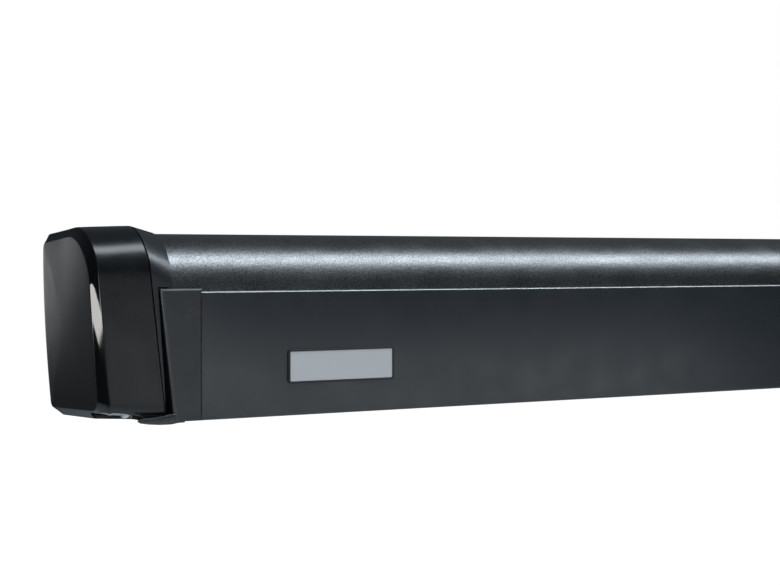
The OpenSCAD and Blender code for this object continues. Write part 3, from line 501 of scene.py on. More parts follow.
def softened(node_name, width, front_width, form=None, clamped=True, lowest=-1.0):
    """A copy of a CAD node with rounded edges and a form of its own, which stands for the node."""
    shape = bmesh.new()
    shape.from_mesh(nodes[node_name].data)
    bmesh.ops.remove_doubles(shape, verts=shape.verts, dist=MERGE_DISTANCE)
    bmesh.ops.dissolve_limit(
        shape, angle_limit=math.radians(FLAT_DEGREES), verts=shape.verts, edges=shape.edges)
    mesh = bpy.data.meshes.new(node_name + "_soft")
    points = [form(v.co) if form else v.co for v in shape.verts]
    mesh.from_pydata([p[:] for p in points], [], [[v.index for v in f.verts] for f in shape.faces])
    shape.free()
    edge_weights(mesh, width / front_width, lowest)
    shade_smooth(mesh)
    mesh.materials.append(coats[COAT_OF_SLOT[slot_of_node[node_name]]])
    piece = mesh_piece(node_name + "_soft", mesh)
    round_edges(piece, front_width, "WEIGHT", use_clamp_overlap=clamped)
    piece.modifiers.new("even_shading", "WEIGHTED_NORMAL")
    settle(piece, 60.0)
    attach(piece, body_of_node[node_name])
    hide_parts(node_name)
    return piece


# %% [markdown]
# The mouldings of the ends are less straight than their solids: their undersides rise to the front and
# to the outer side, the collar's slope is short, and a rail cap's tab lies close under its lower edge.
# Each form is a function that moves one point, by smooth shares, so that no crease shows.

# %% Forms of the ends
TAB_TOP, TAB_TOP_DRAWN, TAB_SHARE = -0.0632, -0.0612, 0.5
TAB_REACH = 0.9235
BLOCK_FRONT, BLOCK_REACH, BLOCK_REACH_DRAWN = -0.0975, 0.9115, 0.9065
EDGE_RISE, EDGE_ZONE = 0.0022, (-0.055, 0.008)
CHIN_RISE, CHIN_ZONE = 0.0036, (-0.040, 0.018)
CHIN_INNER, CHIN_WIDTH = 0.880, 0.066
CHIN_REAR, CHIN_DEPTH = 0.010, 0.085
CHIN_LIMIT = 1.05
SEAM_WIDENED, SEAM_ZONE = 0.0016, (0.9065, 0.003)
SLOPE_SHORTENED, SLOPE_ZONE = 0.0045, (0.9120, 0.012)
EYE_RISE, EYE_ZONE = 0.0006, (-0.045, 0.013)


def held(value, low, high):
    """The value, kept between two limits."""
    return min(max(value, low), high)


def eased(share):
    """A share from 0 to 1 with a smooth start and end."""
    share = held(share, 0.0, 1.0)
    return share * share * (3 - 2 * share)


def below(value, start, length):
    """The smooth share by which a value lies below a start, full after a length."""
    return eased((start - value) / length)


def raised(point, rise):
    """The point, higher by a rise."""
    return point + Vector((0, 0, rise))


def drawn_up(point):
    """Draw the edge of a rail cap up to the rail's, its tab close under it and clear of the end cap."""
    if point.z >= TAB_TOP:
        return raised(point, EDGE_RISE * below(point.z, *EDGE_ZONE))
    reach = min(abs(point.x), TAB_REACH)
    if point.y > BLOCK_FRONT and reach < BLOCK_REACH:
        reach = min(reach, BLOCK_REACH_DRAWN)
    z = TAB_TOP_DRAWN + TAB_SHARE * (point.z - TAB_TOP)
    return Vector((math.copysign(reach, point.x), point.y, z))


def chin_raised(point):
    """Let the underside of the moulded end rise towards its front and its outer side."""
    out = held((abs(point.x) - CHIN_INNER) / CHIN_WIDTH, 0.0, CHIN_LIMIT)
    forward = held((-point.y - CHIN_REAR) / CHIN_DEPTH, 0.0, CHIN_LIMIT)
    return raised(point, CHIN_RISE * out * out * forward * below(point.z, *CHIN_ZONE))


def collar_form(point):
    """A collar with a shorter slope, a wider seam and the same chin as the cap."""
    reach = abs(point.x)
    seam_start, seam_length = SEAM_ZONE
    inwards = SEAM_WIDENED * eased((reach - seam_start) / seam_length)
    inwards -= SLOPE_SHORTENED * below(reach, *SLOPE_ZONE)
    return chin_raised(Vector((math.copysign(reach - inwards, point.x), point.y, point.z)))


def eye_form(point):
    """The crank eye, drawn up a little at its lower end."""
    return raised(point, EYE_RISE * below(point.z, *EYE_ZONE))


# %% Softened pieces
SOFT_NODES = (
    # node, edge radius, front edge radius, form, clamped, height below which edges stay almost sharp
    ("lead_rail", 0.0004, 0.0014),
    ("left_rail_cap", 0.0001, 0.0017, drawn_up, False, -0.0602),
    ("right_rail_cap", 0.0001, 0.0017, drawn_up, False, -0.0602),
    ("left_collar", 0.0003, 0.0004, collar_form),
    ("right_collar", 0.0003, 0.0004, collar_form),
    ("crank_eye", 0.0004, 0.0004, eye_form),
)
for row in SOFT_NODES:
    piece = softened(*row)
    print(piece.name, "faces:", len(piece.data.polygons))

# %% [markdown]
# The rounded faces along the upper front edge of the lead rail get a paler, more mirror-like finish of their
# own, a painted highlight that brightens the lamp's line there. The rounded upper and outer edges of the
# rail caps are painted paler too, as a painted highlight.

# %% Rail lip and painted edge highlights
LIP_LOW, LIP_FRONT = 0.0222, -0.0995
LIP_TURN, LIP_FLAT, LIP_SIDEWAYS = 0.15, 0.98, 0.5

rail = scene.objects["lead_rail_soft"]
rail.data.materials.append(coats["rail_lip_highlight"])
# The up-facing rounded faces along the rail's top front edge take the paler finish, a painted highlight.
lip_highlight_faces = [f for f in rail.data.polygons
             if f.center.z > LIP_LOW and f.center.y < LIP_FRONT and abs(f.normal.x) < LIP_SIDEWAYS
             and LIP_TURN < f.normal.z < LIP_FLAT]
for face in lip_highlight_faces:
    face.material_index = 1
print("Lip faces:", len(lip_highlight_faces))
for side, outwards in (("left", -1), ("right", 1)):
    rail_cap = scene.objects[side + "_rail_cap_soft"]
    rail_cap.data.materials.append(coats["cap_lip_highlight"])
    # Faces of the upper and outer rounded edges take the paler finish, a painted highlight.
    for face in rail_cap.data.polygons:
        turned = face.normal.z > LIP_TURN or face.normal.x * outwards > LIP_TURN
        if turned and face.center.y < LIP_FRONT and face.normal.y > -LIP_FLAT:
            face.material_index = 1
    lip_highlight_area = sum(f.area for f in rail_cap.data.polygons if f.material_index)
    print(side, "cap lip area in mm2:", round(1e6 * lip_highlight_area))

# %% [markdown]
# ## End caps
#
# An end cap is a moulded shell. Its section is a box with a large rounded upper front corner, and it
# runs from the slanting seam to a chamfered gloss band and a satin end face. Loops of points with the
# same count, each on its own leaning plane, are joined into a skin, so the curves are smooth and each
# zone gets its own finish. A second skin inside gives the wall, and a Boolean opens the mouth for the
# crank. A plane is a distance from the awning's middle and a lean in degrees.

# %% Cap sections
LEAN_HEIGHT = 0.002
SEAM_PLANE = (0.9151, 6.3)
BAND_PLANE = (0.95108, 4.9)
FACE_PLANE = (0.95608, 3.4)
CAP_SECTION = dict(rear=0.003, front=0.102, top=0.068, bottom=-0.063, crown=0.032, crown_depth=0.032,
                   corner=0.011, rear_corner=0.006)
BAND_SECTION = {**CAP_SECTION, "crown_depth": 0.040}
FACE_SECTION = dict(rear=0.004, front=0.0953, top=0.0622, bottom=-0.0572, crown=0.034, crown_depth=0.041,
                    corner=0.009, rear_corner=0.004)
ARC_STEPS, SIDE_STEPS = 20, 16
END_START, END_LENGTH, END_LIMIT = 0.923, 0.033, 1.15
BOW, BOW_MIDDLE, BOW_HALF = 0.0011, -0.015, 0.05
BOW_FRONT, BOW_FADE = -0.095, 0.06
FALL_START, FALL_LENGTH, FALL_LIMITS = -0.071, 0.048, (-0.25, 1.3)
FALL, FALL_REARWARD, FALL_LOW, FALL_FADE = 0.0008, 0.0032, 0.030, 0.030


def arc(y, z, deep, tall, start, steps):
    """Points of a quarter of an ellipse."""
    angles = [math.radians(start + 90 * k / steps) for k in range(steps + 1)]
    return [(y + deep * math.cos(a), z + tall * math.sin(a)) for a in angles]


def cap_outline(rear, front, top, bottom, crown, crown_depth, corner, rear_corner):
    """Points (y, z) round a section: upper rear, crown, lower front and lower rear corners."""
    arcs = [arc(*values, ARC_STEPS) for values in (
        (-rear - rear_corner, top - rear_corner, rear_corner, rear_corner, 0),
        (-front + crown_depth, top - crown, crown_depth, crown, 90),
        (-front + corner, bottom + corner, corner, corner, 180),
        (-rear - rear_corner, bottom + rear_corner, rear_corner, rear_corner, 270),
    )]
    points = []
    for corner_arc, following in zip(arcs, arcs[1:] + arcs[:1]):
        points += corner_arc
        (y0, z0), (y1, z1) = corner_arc[-1], following[0]
        points += [(y0 + (y1 - y0) * k / SIDE_STEPS, z0 + (z1 - z0) * k / SIDE_STEPS)
                   for k in range(1, SIDE_STEPS)]
    return points


def on_plane(plane, outline, out=0.0):
    """The outline's points on a leaning plane of the left end, moved outwards by out."""
    x, lean = plane[0] + out, math.radians(plane[1])
    points = []
    for y, z in outline:
        up = z - LEAN_HEIGHT
        points.append(Vector((-x - up * math.sin(lean), y, LEAN_HEIGHT + up * math.cos(lean))))
    return points


def tilted_end(point):
    """The outer end bows, its top falls towards the rear, and the chin rises to the front."""
    out = held((-point.x - END_START) / END_LENGTH, 0.0, END_LIMIT)
    bulge = 1 - ((point.z - BOW_MIDDLE) / BOW_HALF) ** 2
    bow = out * BOW * bulge * eased((point.y - BOW_FRONT) / BOW_FADE)
    back = held((point.y - FALL_START) / FALL_LENGTH, *FALL_LIMITS)
    fall = out * (FALL + FALL_REARWARD * back) * eased((point.z - FALL_LOW) / FALL_FADE)
    return chin_raised(point - Vector((bow, 0, fall)))


def tilted(loops):
    """Loops with each point tilted as the outer end is."""
    return [[tilted_end(p) for p in loop] for loop in loops]


# %% [markdown]
# The loops of the outer skin go from the seam over the front to the band, round the band's edge, across
# the band, round the edge of the face and into the middle of the face, which is a little domed. The
# edges are short curves of several loops, so that they catch a thin line of light.

# %% Cap loops
SATIN, GLOSS, FACE = 0, 1, 2
ZONE_COATS = ("cap_satin", "cap_gloss", "cap_face")
FRONT_LOOPS, FACE_LOOPS = 5, 8
DOME = 0.0012
EDGE_RADIUS, EDGE_STEPS = 0.0004, 5
BAND_HOLLOW = 0.00014
BAND_SHARES = (0.09, 0.17, 0.33, 0.50, 0.67, 0.83, 0.91)
CAP_WALL, BAND_WALL, FACE_WALL = 0.0025, 0.0022, 0.0030
WALL_SIGNS = dict(rear=1, front=-1, top=-1, bottom=1, crown=-1, crown_depth=-1, corner=-1, rear_corner=-1)


def face_loops():
    """Loops of the end face, from its edge to near its middle."""
    outline = cap_outline(**FACE_SECTION)
    y0 = (FACE_SECTION["rear"] + FACE_SECTION["front"]) / -2
    z0 = (FACE_SECTION["top"] + FACE_SECTION["bottom"]) / 2
    loops = []
    for k in range(FACE_LOOPS):
        share = 1 - k / FACE_LOOPS
        ring = [(y0 + (y - y0) * share, z0 + (z - z0) * share) for y, z in outline]
        loops.append(on_plane(FACE_PLANE, ring, DOME * (1 - share * share)))
    return loops


def eased_corner(before, corner, after, share):
    """A point of the curve that rounds the corner of a path, from share 0 to 1."""
    start = corner + (before - corner).normalized() * EDGE_RADIUS
    end = corner + (after - corner).normalized() * EDGE_RADIUS
    return start * (1 - share) ** 2 + corner * (2 * share * (1 - share)) + end * share ** 2


def corner_loops(before, corner, after):
    """Loops that round a corner loop between its neighbours."""
    return [[eased_corner(b, c, a, k / EDGE_STEPS) for b, c, a in zip(before, corner, after)]
            for k in range(EDGE_STEPS + 1)]


def hollowed(edge, face, share):
    """A point across the gloss band, which is a little hollow."""
    reach = Vector((0, edge.y - face.y, edge.z - face.z))
    outwards = Vector((-reach.length, 0, 0)) + abs(face.x - edge.x) * reach.normalized()
    return edge.lerp(face, share) - outwards.normalized() * (4 * BAND_HOLLOW * share * (1 - share))


def outer_loops():
    """The loops of the left cap's outer skin, and the zone that starts at each of them."""
    seam = on_plane(SEAM_PLANE, cap_outline(**CAP_SECTION))
    band = on_plane(BAND_PLANE, cap_outline(**BAND_SECTION))
    faces = face_loops()
    front = [[a.lerp(b, k / FRONT_LOOPS) for a, b in zip(seam, band)] for k in range(FRONT_LOOPS)]
    cove = [[hollowed(b, f, share) for b, f in zip(band, faces[0])] for share in BAND_SHARES]
    band_edge = corner_loops(seam, band, cove[0])
    face_edge = corner_loops(cove[-1], faces[0], faces[1])
    loops = front + band_edge + cove + face_edge + faces[1:]
    satin, gloss = len(front) + EDGE_STEPS, 1 + len(cove)
    return loops, [SATIN] * satin + [GLOSS] * gloss + [FACE] * (len(loops) - satin - gloss)


def inner_loops():
    """The loops of the left cap's inner skin."""
    rows = ((SEAM_PLANE, CAP_SECTION, 0.0), (BAND_PLANE, BAND_SECTION, BAND_WALL),
            (FACE_PLANE, FACE_SECTION, FACE_WALL))
    loops = []
    for plane, section, back in rows:
        inside = {key: value + WALL_SIGNS[key] * CAP_WALL for key, value in section.items()}
        loops.append(on_plane(plane, cap_outline(**inside), -back))
    return loops


# %% [markdown]
# The crank goes in through a mouth in the underside of the left cap. Its front lip follows the cap's own
# front, and its rear corners are round. The cutter is a prism over that outline.

# %% Crank mouth
CHIN_BAND, CHIN_FACE = 0.9456, 0.9527
MOUTH_MIDDLE, MOUTH_HALF = -0.9350, 0.0155
MOUTH_REAR, MOUTH_CORNER = -0.070, 0.008
MOUTH_STEPS, CORNER_STEPS = 24, 8
LIP_INSET, LIP_CURL, LIP_POWER = 0.0024, 0.0065, 8
CUT_LOW, CUT_HIGH = -0.068, -0.054


def chin_front(x):
    """How far the left cap reaches to the front near its chin."""
    share = held((-x - CHIN_BAND) / (CHIN_FACE - CHIN_BAND), 0.0, 1.0)
    return CAP_SECTION["front"] + share * (FACE_SECTION["front"] - CAP_SECTION["front"])


def lip_point(share):
    """The point (x, y) of the mouth's lip at a share from -1 to 1 of its length."""
    x = MOUTH_MIDDLE + MOUTH_HALF * share
    return x, LIP_INSET + LIP_CURL * share ** LIP_POWER - chin_front(x)


def mouth_outline():
    """Points (x, y) of the crank's mouth: a lip that follows the cap's front, and a rounded rear edge."""
    points = [lip_point(2 * k / MOUTH_STEPS - 1) for k in range(MOUTH_STEPS + 1)]
    for sx, start in ((1, 0), (-1, 90)):
        x = MOUTH_MIDDLE + sx * (MOUTH_HALF - MOUTH_CORNER)
        points += arc(x, MOUTH_REAR - MOUTH_CORNER, MOUTH_CORNER, MOUTH_CORNER, start, CORNER_STEPS)
    return points


def prism(name, near, far):
    """A closed mesh between two loops of points with the same count."""
    count = len(near)
    sides = [[k, (k + 1) % count, count + (k + 1) % count, count + k] for k in range(count)]
    mesh = bpy.data.meshes.new(name)
    mesh.from_pydata([*near, *far], [], [list(range(count))[::-1], list(range(count, 2 * count)), *sides])
    return mesh


# %% [markdown]
# A skin is a row of faces between each loop and the next. The right cap is the left one mirrored, and
# only the left one has the mouth.

# %% End caps


def skin(shape, loops, zones, turned=False):
    """Faces between loops of points, closed at the last one. Gives the first loop's vertices."""
    rings = [[shape.verts.new(p) for p in loop] for loop in loops]
    count = len(rings[0])
    made = []
    for ring, following, zone in zip(rings, rings[1:], zones):
        for k in range(count):
            after = (k + 1) % count
            made.append(shape.faces.new((ring[k], ring[after], following[after], following[k])))
            made[-1].material_index = zone
    made.append(shape.faces.new(rings[-1]))
    made[-1].material_index = zones[-1]
    if turned:
        bmesh.ops.reverse_faces(shape, faces=made)
    return rings[0]


def cap_mesh(side):
    """The shell of one side's end cap: an outer and an inner skin, joined at the seam."""
    shape = bmesh.new()
    loops, zones = outer_loops()
    outer = skin(shape, tilted(loops), zones)
    inside = tilted(inner_loops())
    inner = skin(shape, inside, [SATIN] * len(inside), turned=True)
    count = len(outer)
    for k in range(count):
        shape.faces.new((outer[(k + 1) % count], outer[k], inner[k], inner[(k + 1) % count]))
    if side == "left":
        bmesh.ops.reverse_faces(shape, faces=shape.faces)
    else:
        bmesh.ops.scale(shape, vec=(-1, 1, 1), verts=shape.verts)
    return mesh_from(shape, side + "_cap_shell", [coats[name] for name in ZONE_COATS])


def end_cap(side):
    """A moulded end cap of one side. The left one has the mouth for the crank."""
    piece = mesh_piece(side + "_cap_shell", cap_mesh(side))
    cutter = None
    if side == "left":
        near, far = ([(x, y, z) for x, y in mouth_outline()] for z in (CUT_LOW, CUT_HIGH))
        cutter = mesh_piece("mouth_cutter", prism("mouth_cutter", near, far))
        hole = piece.modifiers.new("mouth", "BOOLEAN")
        hole.operation = "DIFFERENCE"
        hole.object = cutter
        hole.solver = "EXACT"
    settle(piece, 30.0)
    if cutter:
        bpy.data.objects.remove(cutter)
    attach(piece, "cassette")
    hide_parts(side + "_end_cap")
    return piece


for side in ("left", "right"):
    piece = end_cap(side)
    print(piece.name, "faces:", len(piece.data.polygons))

# %% [markdown]
# The mouth's front lip is rounded. A thin pale bead laid along it is a painted highlight: it stands for the
# light that the rounded lip catches. A curve with a round bevel is the quickest way to a bead: its points lie
# on the rounded chin, just where the mouth cuts it, and are found by casting a ray up at the cap from below.

# %% Mouth bead
BEAD_RADIUS, BEAD_SINK = 0.0008, 0.0003
BEAD_FROM, BEAD_TO, BEAD_POINTS = -0.93, 0.12, 24
BEAD_RAY_START = -0.09

left_cap = scene.objects["left_cap_shell"].data
cap_surface = BVHTree.FromPolygons(
    [v.co for v in left_cap.vertices], [p.vertices[:] for p in left_cap.polygons])


def chin_point(share):
    """The point of the left cap's rounded chin in front of the mouth's lip, found from below."""
    x, y = lip_point(share)
    return cap_surface.ray_cast(Vector((x, y - BEAD_SINK, BEAD_RAY_START)), Vector((0, 0, 1)))[0]


bead_curve = bpy.data.curves.new("mouth_bead", "CURVE")
bead_curve.dimensions = "3D"
bead_curve.bevel_depth = BEAD_RADIUS
bead_curve.bevel_resolution = 3
bead_curve.use_fill_caps = True
spline = bead_curve.splines.new("POLY")
spline.points.add(BEAD_POINTS - 1)
for k, point in enumerate(spline.points):
    point.co = (*chin_point(BEAD_FROM + (BEAD_TO - BEAD_FROM) * k / (BEAD_POINTS - 1)), 1)
    point.radius = math.sqrt(math.sin(math.pi * (k + 0.5) / BEAD_POINTS))
# The bead's pale grey is a painted highlight.
bead_curve.materials.append(coats["mouth_lip_highlight"])
bead_source = mesh_piece("mouth_bead_curve", bead_curve)
bead_mesh = evaluated_mesh(bead_source)
bpy.data.objects.remove(bead_source)
bead = settle(mesh_piece("mouth_bead", bead_mesh), 60.0)
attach(bead, "cassette")
print("Bead faces:", len(bead_mesh.polygons))

# %% [markdown]
# ## Blades under the rail caps
#
# Each lead rail cap ends below in a blade that runs under the end cap and hides the gap when the awning
# is closed. Its outline is drawn in the plane of the rail's front and given a thickness, and the Bevel
# modifier rounds it. It is a piece of the rail cap, so it rides with the lead rail.

# %% Blades
BLADE_OUTLINE = (
    (-0.9283, -0.0597), (-0.9279, -0.0606), (-0.9262, -0.0616), (-0.9200, -0.0626), (-0.9129, -0.0632),
    (-0.9049, -0.0633), (-0.8990, -0.0624), (-0.8951, -0.0617), (-0.8951, -0.0560), (-0.9060, -0.0566),
    (-0.9113, -0.0577), (-0.9192, -0.0585), (-0.9262, -0.0590),
)
BLADE_FRONT, BLADE_BACK = -0.10385, -0.1022
BLADE_ROUNDING, BLADE_DEGREES = 0.0005, 50


def blade(side):
    """The blade of one rail cap."""
    turn = 1 if side == "left" else -1
    back, front = ([(turn * x, y, z) for x, z in BLADE_OUTLINE[::turn]] for y in (BLADE_BACK, BLADE_FRONT))
    mesh = prism(side + "_blade", back, front)
    mesh.materials.append(coats["collar_satin"])
    piece = mesh_piece(side + "_blade", mesh)
    round_edges(piece, BLADE_ROUNDING, "ANGLE", angle_limit=math.radians(BLADE_DEGREES))
    settle(piece)
    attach(piece, "lead_rail")
    return piece


for side in ("left", "right"):
    print(blade(side).name, "made")

# %% [markdown]
# ## Blank plate
#
# A plain silver plate in a dark frame sits on the lead rail near its left end. Loops of points go from
# the rail's face over a rounded rim and down to the field, which lies a little lower than the frame.

# %% Blank plate
PLATE_MIDDLE = (-0.7765, -0.0282)
PLATE_SIZE = (0.0840, 0.0235)
PLATE_CORNER, LEAST_CORNER, PLATE_ARC_STEPS = 0.0022, 0.0006, 8
PLATE_STEPS = (
    # inset, depth
    (0.0, -0.1019), (0.0, -0.1030), (0.0002, -0.1034), (0.0006, -0.1036), (0.0012, -0.1036),
    (0.0015, -0.1034), (0.0016, -0.1031), (0.0019, -0.1031), (0.0060, -0.10315),
)
FRAME_LOOPS = 6


def plate_loop(inset, y):
    """A rounded rectangle of the plate's outline, smaller by an inset, at a depth."""
    radius = max(PLATE_CORNER - inset, LEAST_CORNER)
    half_width, half_height = (size / 2 - inset - radius for size in PLATE_SIZE)
    points = []
    for sx, sz, start in ((1, 1, 0), (-1, 1, 90), (-1, -1, 180), (1, -1, 270)):
        x, z = PLATE_MIDDLE[0] + sx * half_width, PLATE_MIDDLE[1] + sz * half_height
        points += arc(x, z, radius, radius, start, PLATE_ARC_STEPS)
    return [Vector((x, y, z)) for x, z in points]


def closed_skin(name, loops, zones, materials):
    """A mesh from loops of points, closed at both ends."""
    shape = bmesh.new()
    first = skin(shape, loops, zones)
    shape.faces.new(first[::-1])
    bmesh.ops.recalc_face_normals(shape, faces=shape.faces)
    return mesh_from(shape, name, materials)


plate_zones = [0] * FRAME_LOOPS + [1] * (len(PLATE_STEPS) - FRAME_LOOPS)
plate_mesh = closed_skin("blank_plate", [plate_loop(*step) for step in PLATE_STEPS], plate_zones,
                         [coats["moulded_black"], coats["plate_silver"]])
plate = settle(mesh_piece("blank_plate", plate_mesh), 35.0)
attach(plate, "lead_rail")
print("Plate:", PLATE_SIZE)

# %% [markdown]
# ## Cloth
#
# The awning cloth is one sheet, wound on the roller with its front edge round a cord in the lead rail.
# Its section is a path of points: half turns that grow by half a cloth pitch each, a short run to the
# rail, and a loop round the cord. The rows in the short run between the roll and the rail are packed
# close, since the UV map counts that run as all the cloth that is drawn out when the rail goes forward.

# %% Cloth path
CLOTH_HALF = 0.876
ROLL_AXIS = Vector((-0.053, 0.027))
FIRST_RADIUS, HALF_TURN_GROWTH, HALF_TURNS = 0.02297, 0.00046, 18
ARC_ROWS, DRAWN_ROWS, LOOP_ROWS = 24, 120, 24
RUN_CORNER = Vector((-0.073, -0.0014))
CORD_MIDDLE, CORD_RADIUS = Vector((-0.080, -0.0014)), 0.0025
LOOP_RADIUS, LOOP_START, LOOP_TURN = CORD_RADIUS + 0.00025, 5, 345
DRAWN_LENGTH = 1.402353
DRAW_DIRECTION = Vector((-0.644, -0.765)).normalized()
DRAW_START, DRAW_END = 0.0312, 0.0363
HALVINGS = 40


def draw_reach(point):
    """How far a point of the path lies along the draw direction."""
    return (point - ROLL_AXIS).dot(DRAW_DIRECTION)


def drawn_share(point):
    """How far a point of the path goes with the rail, from 0 to 1."""
    return eased((draw_reach(point) - DRAW_START) / (DRAW_END - DRAW_START))


def polar(middle, radius, degrees):
    """A point (y, z) on a circle."""
    return middle + radius * Vector((math.cos(math.radians(degrees)), math.sin(math.radians(degrees))))


def share_for(level):
    """The place between 0 and 1 where the smooth share reaches a level."""
    low, high = 0.0, 1.0
    for _ in range(HALVINGS):
        middle = (low + high) / 2
        low, high = (middle, high) if eased(middle) < level else (low, middle)
    return (low + high) / 2


def along(points, reach):
    """The point of a line of points that lies this far along the draw direction."""
    for a, b in zip(points, points[1:]):
        from_a, to_b = draw_reach(a), draw_reach(b)
        if from_a <= reach <= to_b:
            return a.lerp(b, (reach - from_a) / (to_b - from_a))
    return points[-1]


path = []
for half in range(HALF_TURNS):
    middle = ROLL_AXIS - Vector((0, HALF_TURN_GROWTH * (half % 2)))
    radius = FIRST_RADIUS + HALF_TURN_GROWTH * half
    start = 90 if half % 2 else -90
    path += [polar(middle, radius, start - 180 * k / ARC_ROWS) for k in range(ARC_ROWS)]
leaving = polar(middle, radius, -90)
run = [leaving, RUN_CORNER, polar(CORD_MIDDLE, LOOP_RADIUS, LOOP_START)]
path += [leaving, leaving.lerp(along(run, DRAW_START), 0.5)]
path += [along(run, DRAW_START + (DRAW_END - DRAW_START) * share_for(k / DRAWN_ROWS))
         for k in range(DRAWN_ROWS + 1)]
path += [polar(CORD_MIDDLE, LOOP_RADIUS, LOOP_START + LOOP_TURN * k / LOOP_ROWS)
         for k in range(LOOP_ROWS + 1)]
lengths = [0.0]
for a, b in zip(path, path[1:]):
    lengths.append(lengths[-1] + (b - a).length)
print("Cloth path:", len(path), "rows,", round(lengths[-1], 4), "m")

# %% [markdown]
# The weave is drawn on the sheet's own UV map, which is measured as if the cloth were spread out: its
# width across, and along it the path plus the length that is drawn out of the short run. Two wave
# textures are the threads, a stretched noise is the uneven dye, and dashes along the side hems are the
# seams.

# %% Woven cloth finish
SPREAD_LENGTH = lengths[-1] + DRAWN_LENGTH
THREAD_PITCH, WAVE_LENGTH = 0.0011, 0.314
HEM_WIDTH, HEM_FOLD = 0.018, 0.004
STITCH_PITCH, STITCH_SHARE, STITCH_HALF = 0.005, 0.68, 0.0007
DARK_GREY, PALE_GREY, STITCH_GREY = (0.25, 0.26, 0.27, 1), (0.36, 0.37, 0.38, 1), (0.52, 0.53, 0.54, 1)


def woven_cloth():
    """Grey acrylic weave with sewn side hems, on the cloth's UV map."""
    material = bpy.data.materials.new("woven_cloth")
    material.use_nodes = True
    tree = material.node_tree
    tree.nodes.clear()
    spread = add_node(tree, "ShaderNodeUVMap", uv_map="spread")
    metres = add_node(tree, "ShaderNodeMapping", {
        "Vector": spread, "Scale": (2 * CLOTH_HALF, SPREAD_LENGTH, 1)})
    wave = {"Vector": metres, "Scale": WAVE_LENGTH / THREAD_PITCH, "Distortion": 0.6}
    warp, weft = (add_node(tree, "ShaderNodeTexWave", wave, bands_direction=axis) for axis in ("X", "Y"))
    weave = maths(tree, "MULTIPLY", (warp, "Fac"), (weft, "Fac"))
    dye_place = add_node(tree, "ShaderNodeMapping", {"Vector": metres, "Scale": (60, 3, 1)})
    dye = add_node(tree, "ShaderNodeTexNoise", {"Vector": dye_place, "Scale": 4.0, "Detail": 4.0})
    shade = add_node(tree, "ShaderNodeMapRange", {"Value": weave, "To Min": 0.72, "To Max": 1.10})
    woven = mixed(tree, 1.0, mixed(tree, dye, DARK_GREY, PALE_GREY), shade, blend_type="MULTIPLY")

    place = add_node(tree, "ShaderNodeSeparateXYZ", {"Vector": metres})
    centred = maths(tree, "SUBTRACT", (place, "X"), CLOTH_HALF)
    off_middle = maths(tree, "ABSOLUTE", centred)
    seam = maths(tree, "COMPARE", off_middle, CLOTH_HALF - HEM_WIDTH, STITCH_HALF)
    phase = maths(tree, "FRACT", maths(tree, "MULTIPLY", (place, "Y"), 1 / STITCH_PITCH))
    stitch = maths(tree, "MULTIPLY", seam, maths(tree, "LESS_THAN", phase, STITCH_SHARE))
    hem = maths(tree, "GREATER_THAN", off_middle, CLOTH_HALF - HEM_WIDTH - HEM_FOLD)

    rough = add_node(tree, "ShaderNodeMapRange", {"Value": weave, "To Min": 0.74, "To Max": 0.92})
    bump = add_node(tree, "ShaderNodeBump", {
        "Strength": 0.6, "Distance": 0.0002, "Height": maths(tree, "ADD", weave, hem)})
    shader = add_node(tree, "ShaderNodeBsdfPrincipled", {
        "Base Color": mixed(tree, stitch, woven, STITCH_GREY), "Roughness": rough, "Normal": bump,
        "Specular IOR Level": 0.2, "Sheen Weight": 0.15})
    add_node(tree, "ShaderNodeOutputMaterial", {"Surface": shader})
    return material


cloth_grey = woven_cloth()
print("Cloth spread out:", round(SPREAD_LENGTH, 3), "m long")

# %% [markdown]
# The sheet is a grid: one row of points for each point of the path, from one side hem to the other.

# %% Cloth sheet
CLOTH_COLUMNS = 12
CLOTH_WIDTH = CLOTH_COLUMNS + 1

columns = [CLOTH_HALF * (2 * k / CLOTH_COLUMNS - 1) for k in range(CLOTH_WIDTH)]
cloth_mesh = bpy.data.meshes.new("awning_cloth")
corners = [r * CLOTH_WIDTH + c for r in range(len(path) - 1) for c in range(CLOTH_COLUMNS)]
cloth_mesh.from_pydata(
    [(x, p.x, p.y) for p in path for x in columns], [],
    [(k, k + 1, k + CLOTH_WIDTH + 1, k + CLOTH_WIDTH) for k in corners])
spread_map = cloth_mesh.uv_layers.new(name="spread")
spread_rows = [(length + drawn_share(p) * DRAWN_LENGTH) / SPREAD_LENGTH for p, length in zip(path, lengths)]
for loop in cloth_mesh.loops:
    row, column = divmod(loop.vertex_index, CLOTH_WIDTH)
    spread_map.data[loop.index].uv = (column / CLOTH_COLUMNS, spread_rows[row])
shade_smooth(cloth_mesh)
cloth_mesh.materials.append(cloth_grey)
awning_cloth = mesh_piece("awning_cloth", cloth_mesh)
print("Cloth faces:", len(cloth_mesh.polygons))

# %% [markdown]
# The cord in the front edge is a round rod with eased ends, which rides with the cloth. With it in place,
# the CAD roll and run of the cloth are hidden, and the sheet's placement is baked into its mesh.

# %% Edge rod and sheet
ROD_POINTS, ROD_END, ROD_END_SHARE = 24, 0.001, 0.6
ROD_STEPS = (
    (-CLOTH_HALF, ROD_END_SHARE), (-CLOTH_HALF + ROD_END, 1.0),
    (CLOTH_HALF - ROD_END, 1.0), (CLOTH_HALF, ROD_END_SHARE),
)
rod_loops = [
    [Vector((x, *polar(CORD_MIDDLE, CORD_RADIUS * share, 360 / ROD_POINTS * k))) for k in range(ROD_POINTS)]
    for x, share in ROD_STEPS]
rod_mesh = closed_skin("cloth_edge_rod", rod_loops, [0] * len(rod_loops), [coats["moulded_black"]])
edge_rod = settle(mesh_piece("cloth_edge_rod", rod_mesh))
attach(edge_rod, "cloth")

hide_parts("cloth_roll", "cloth_run")
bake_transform(awning_cloth)
print("Rod faces:", len(edge_rod.data.polygons))

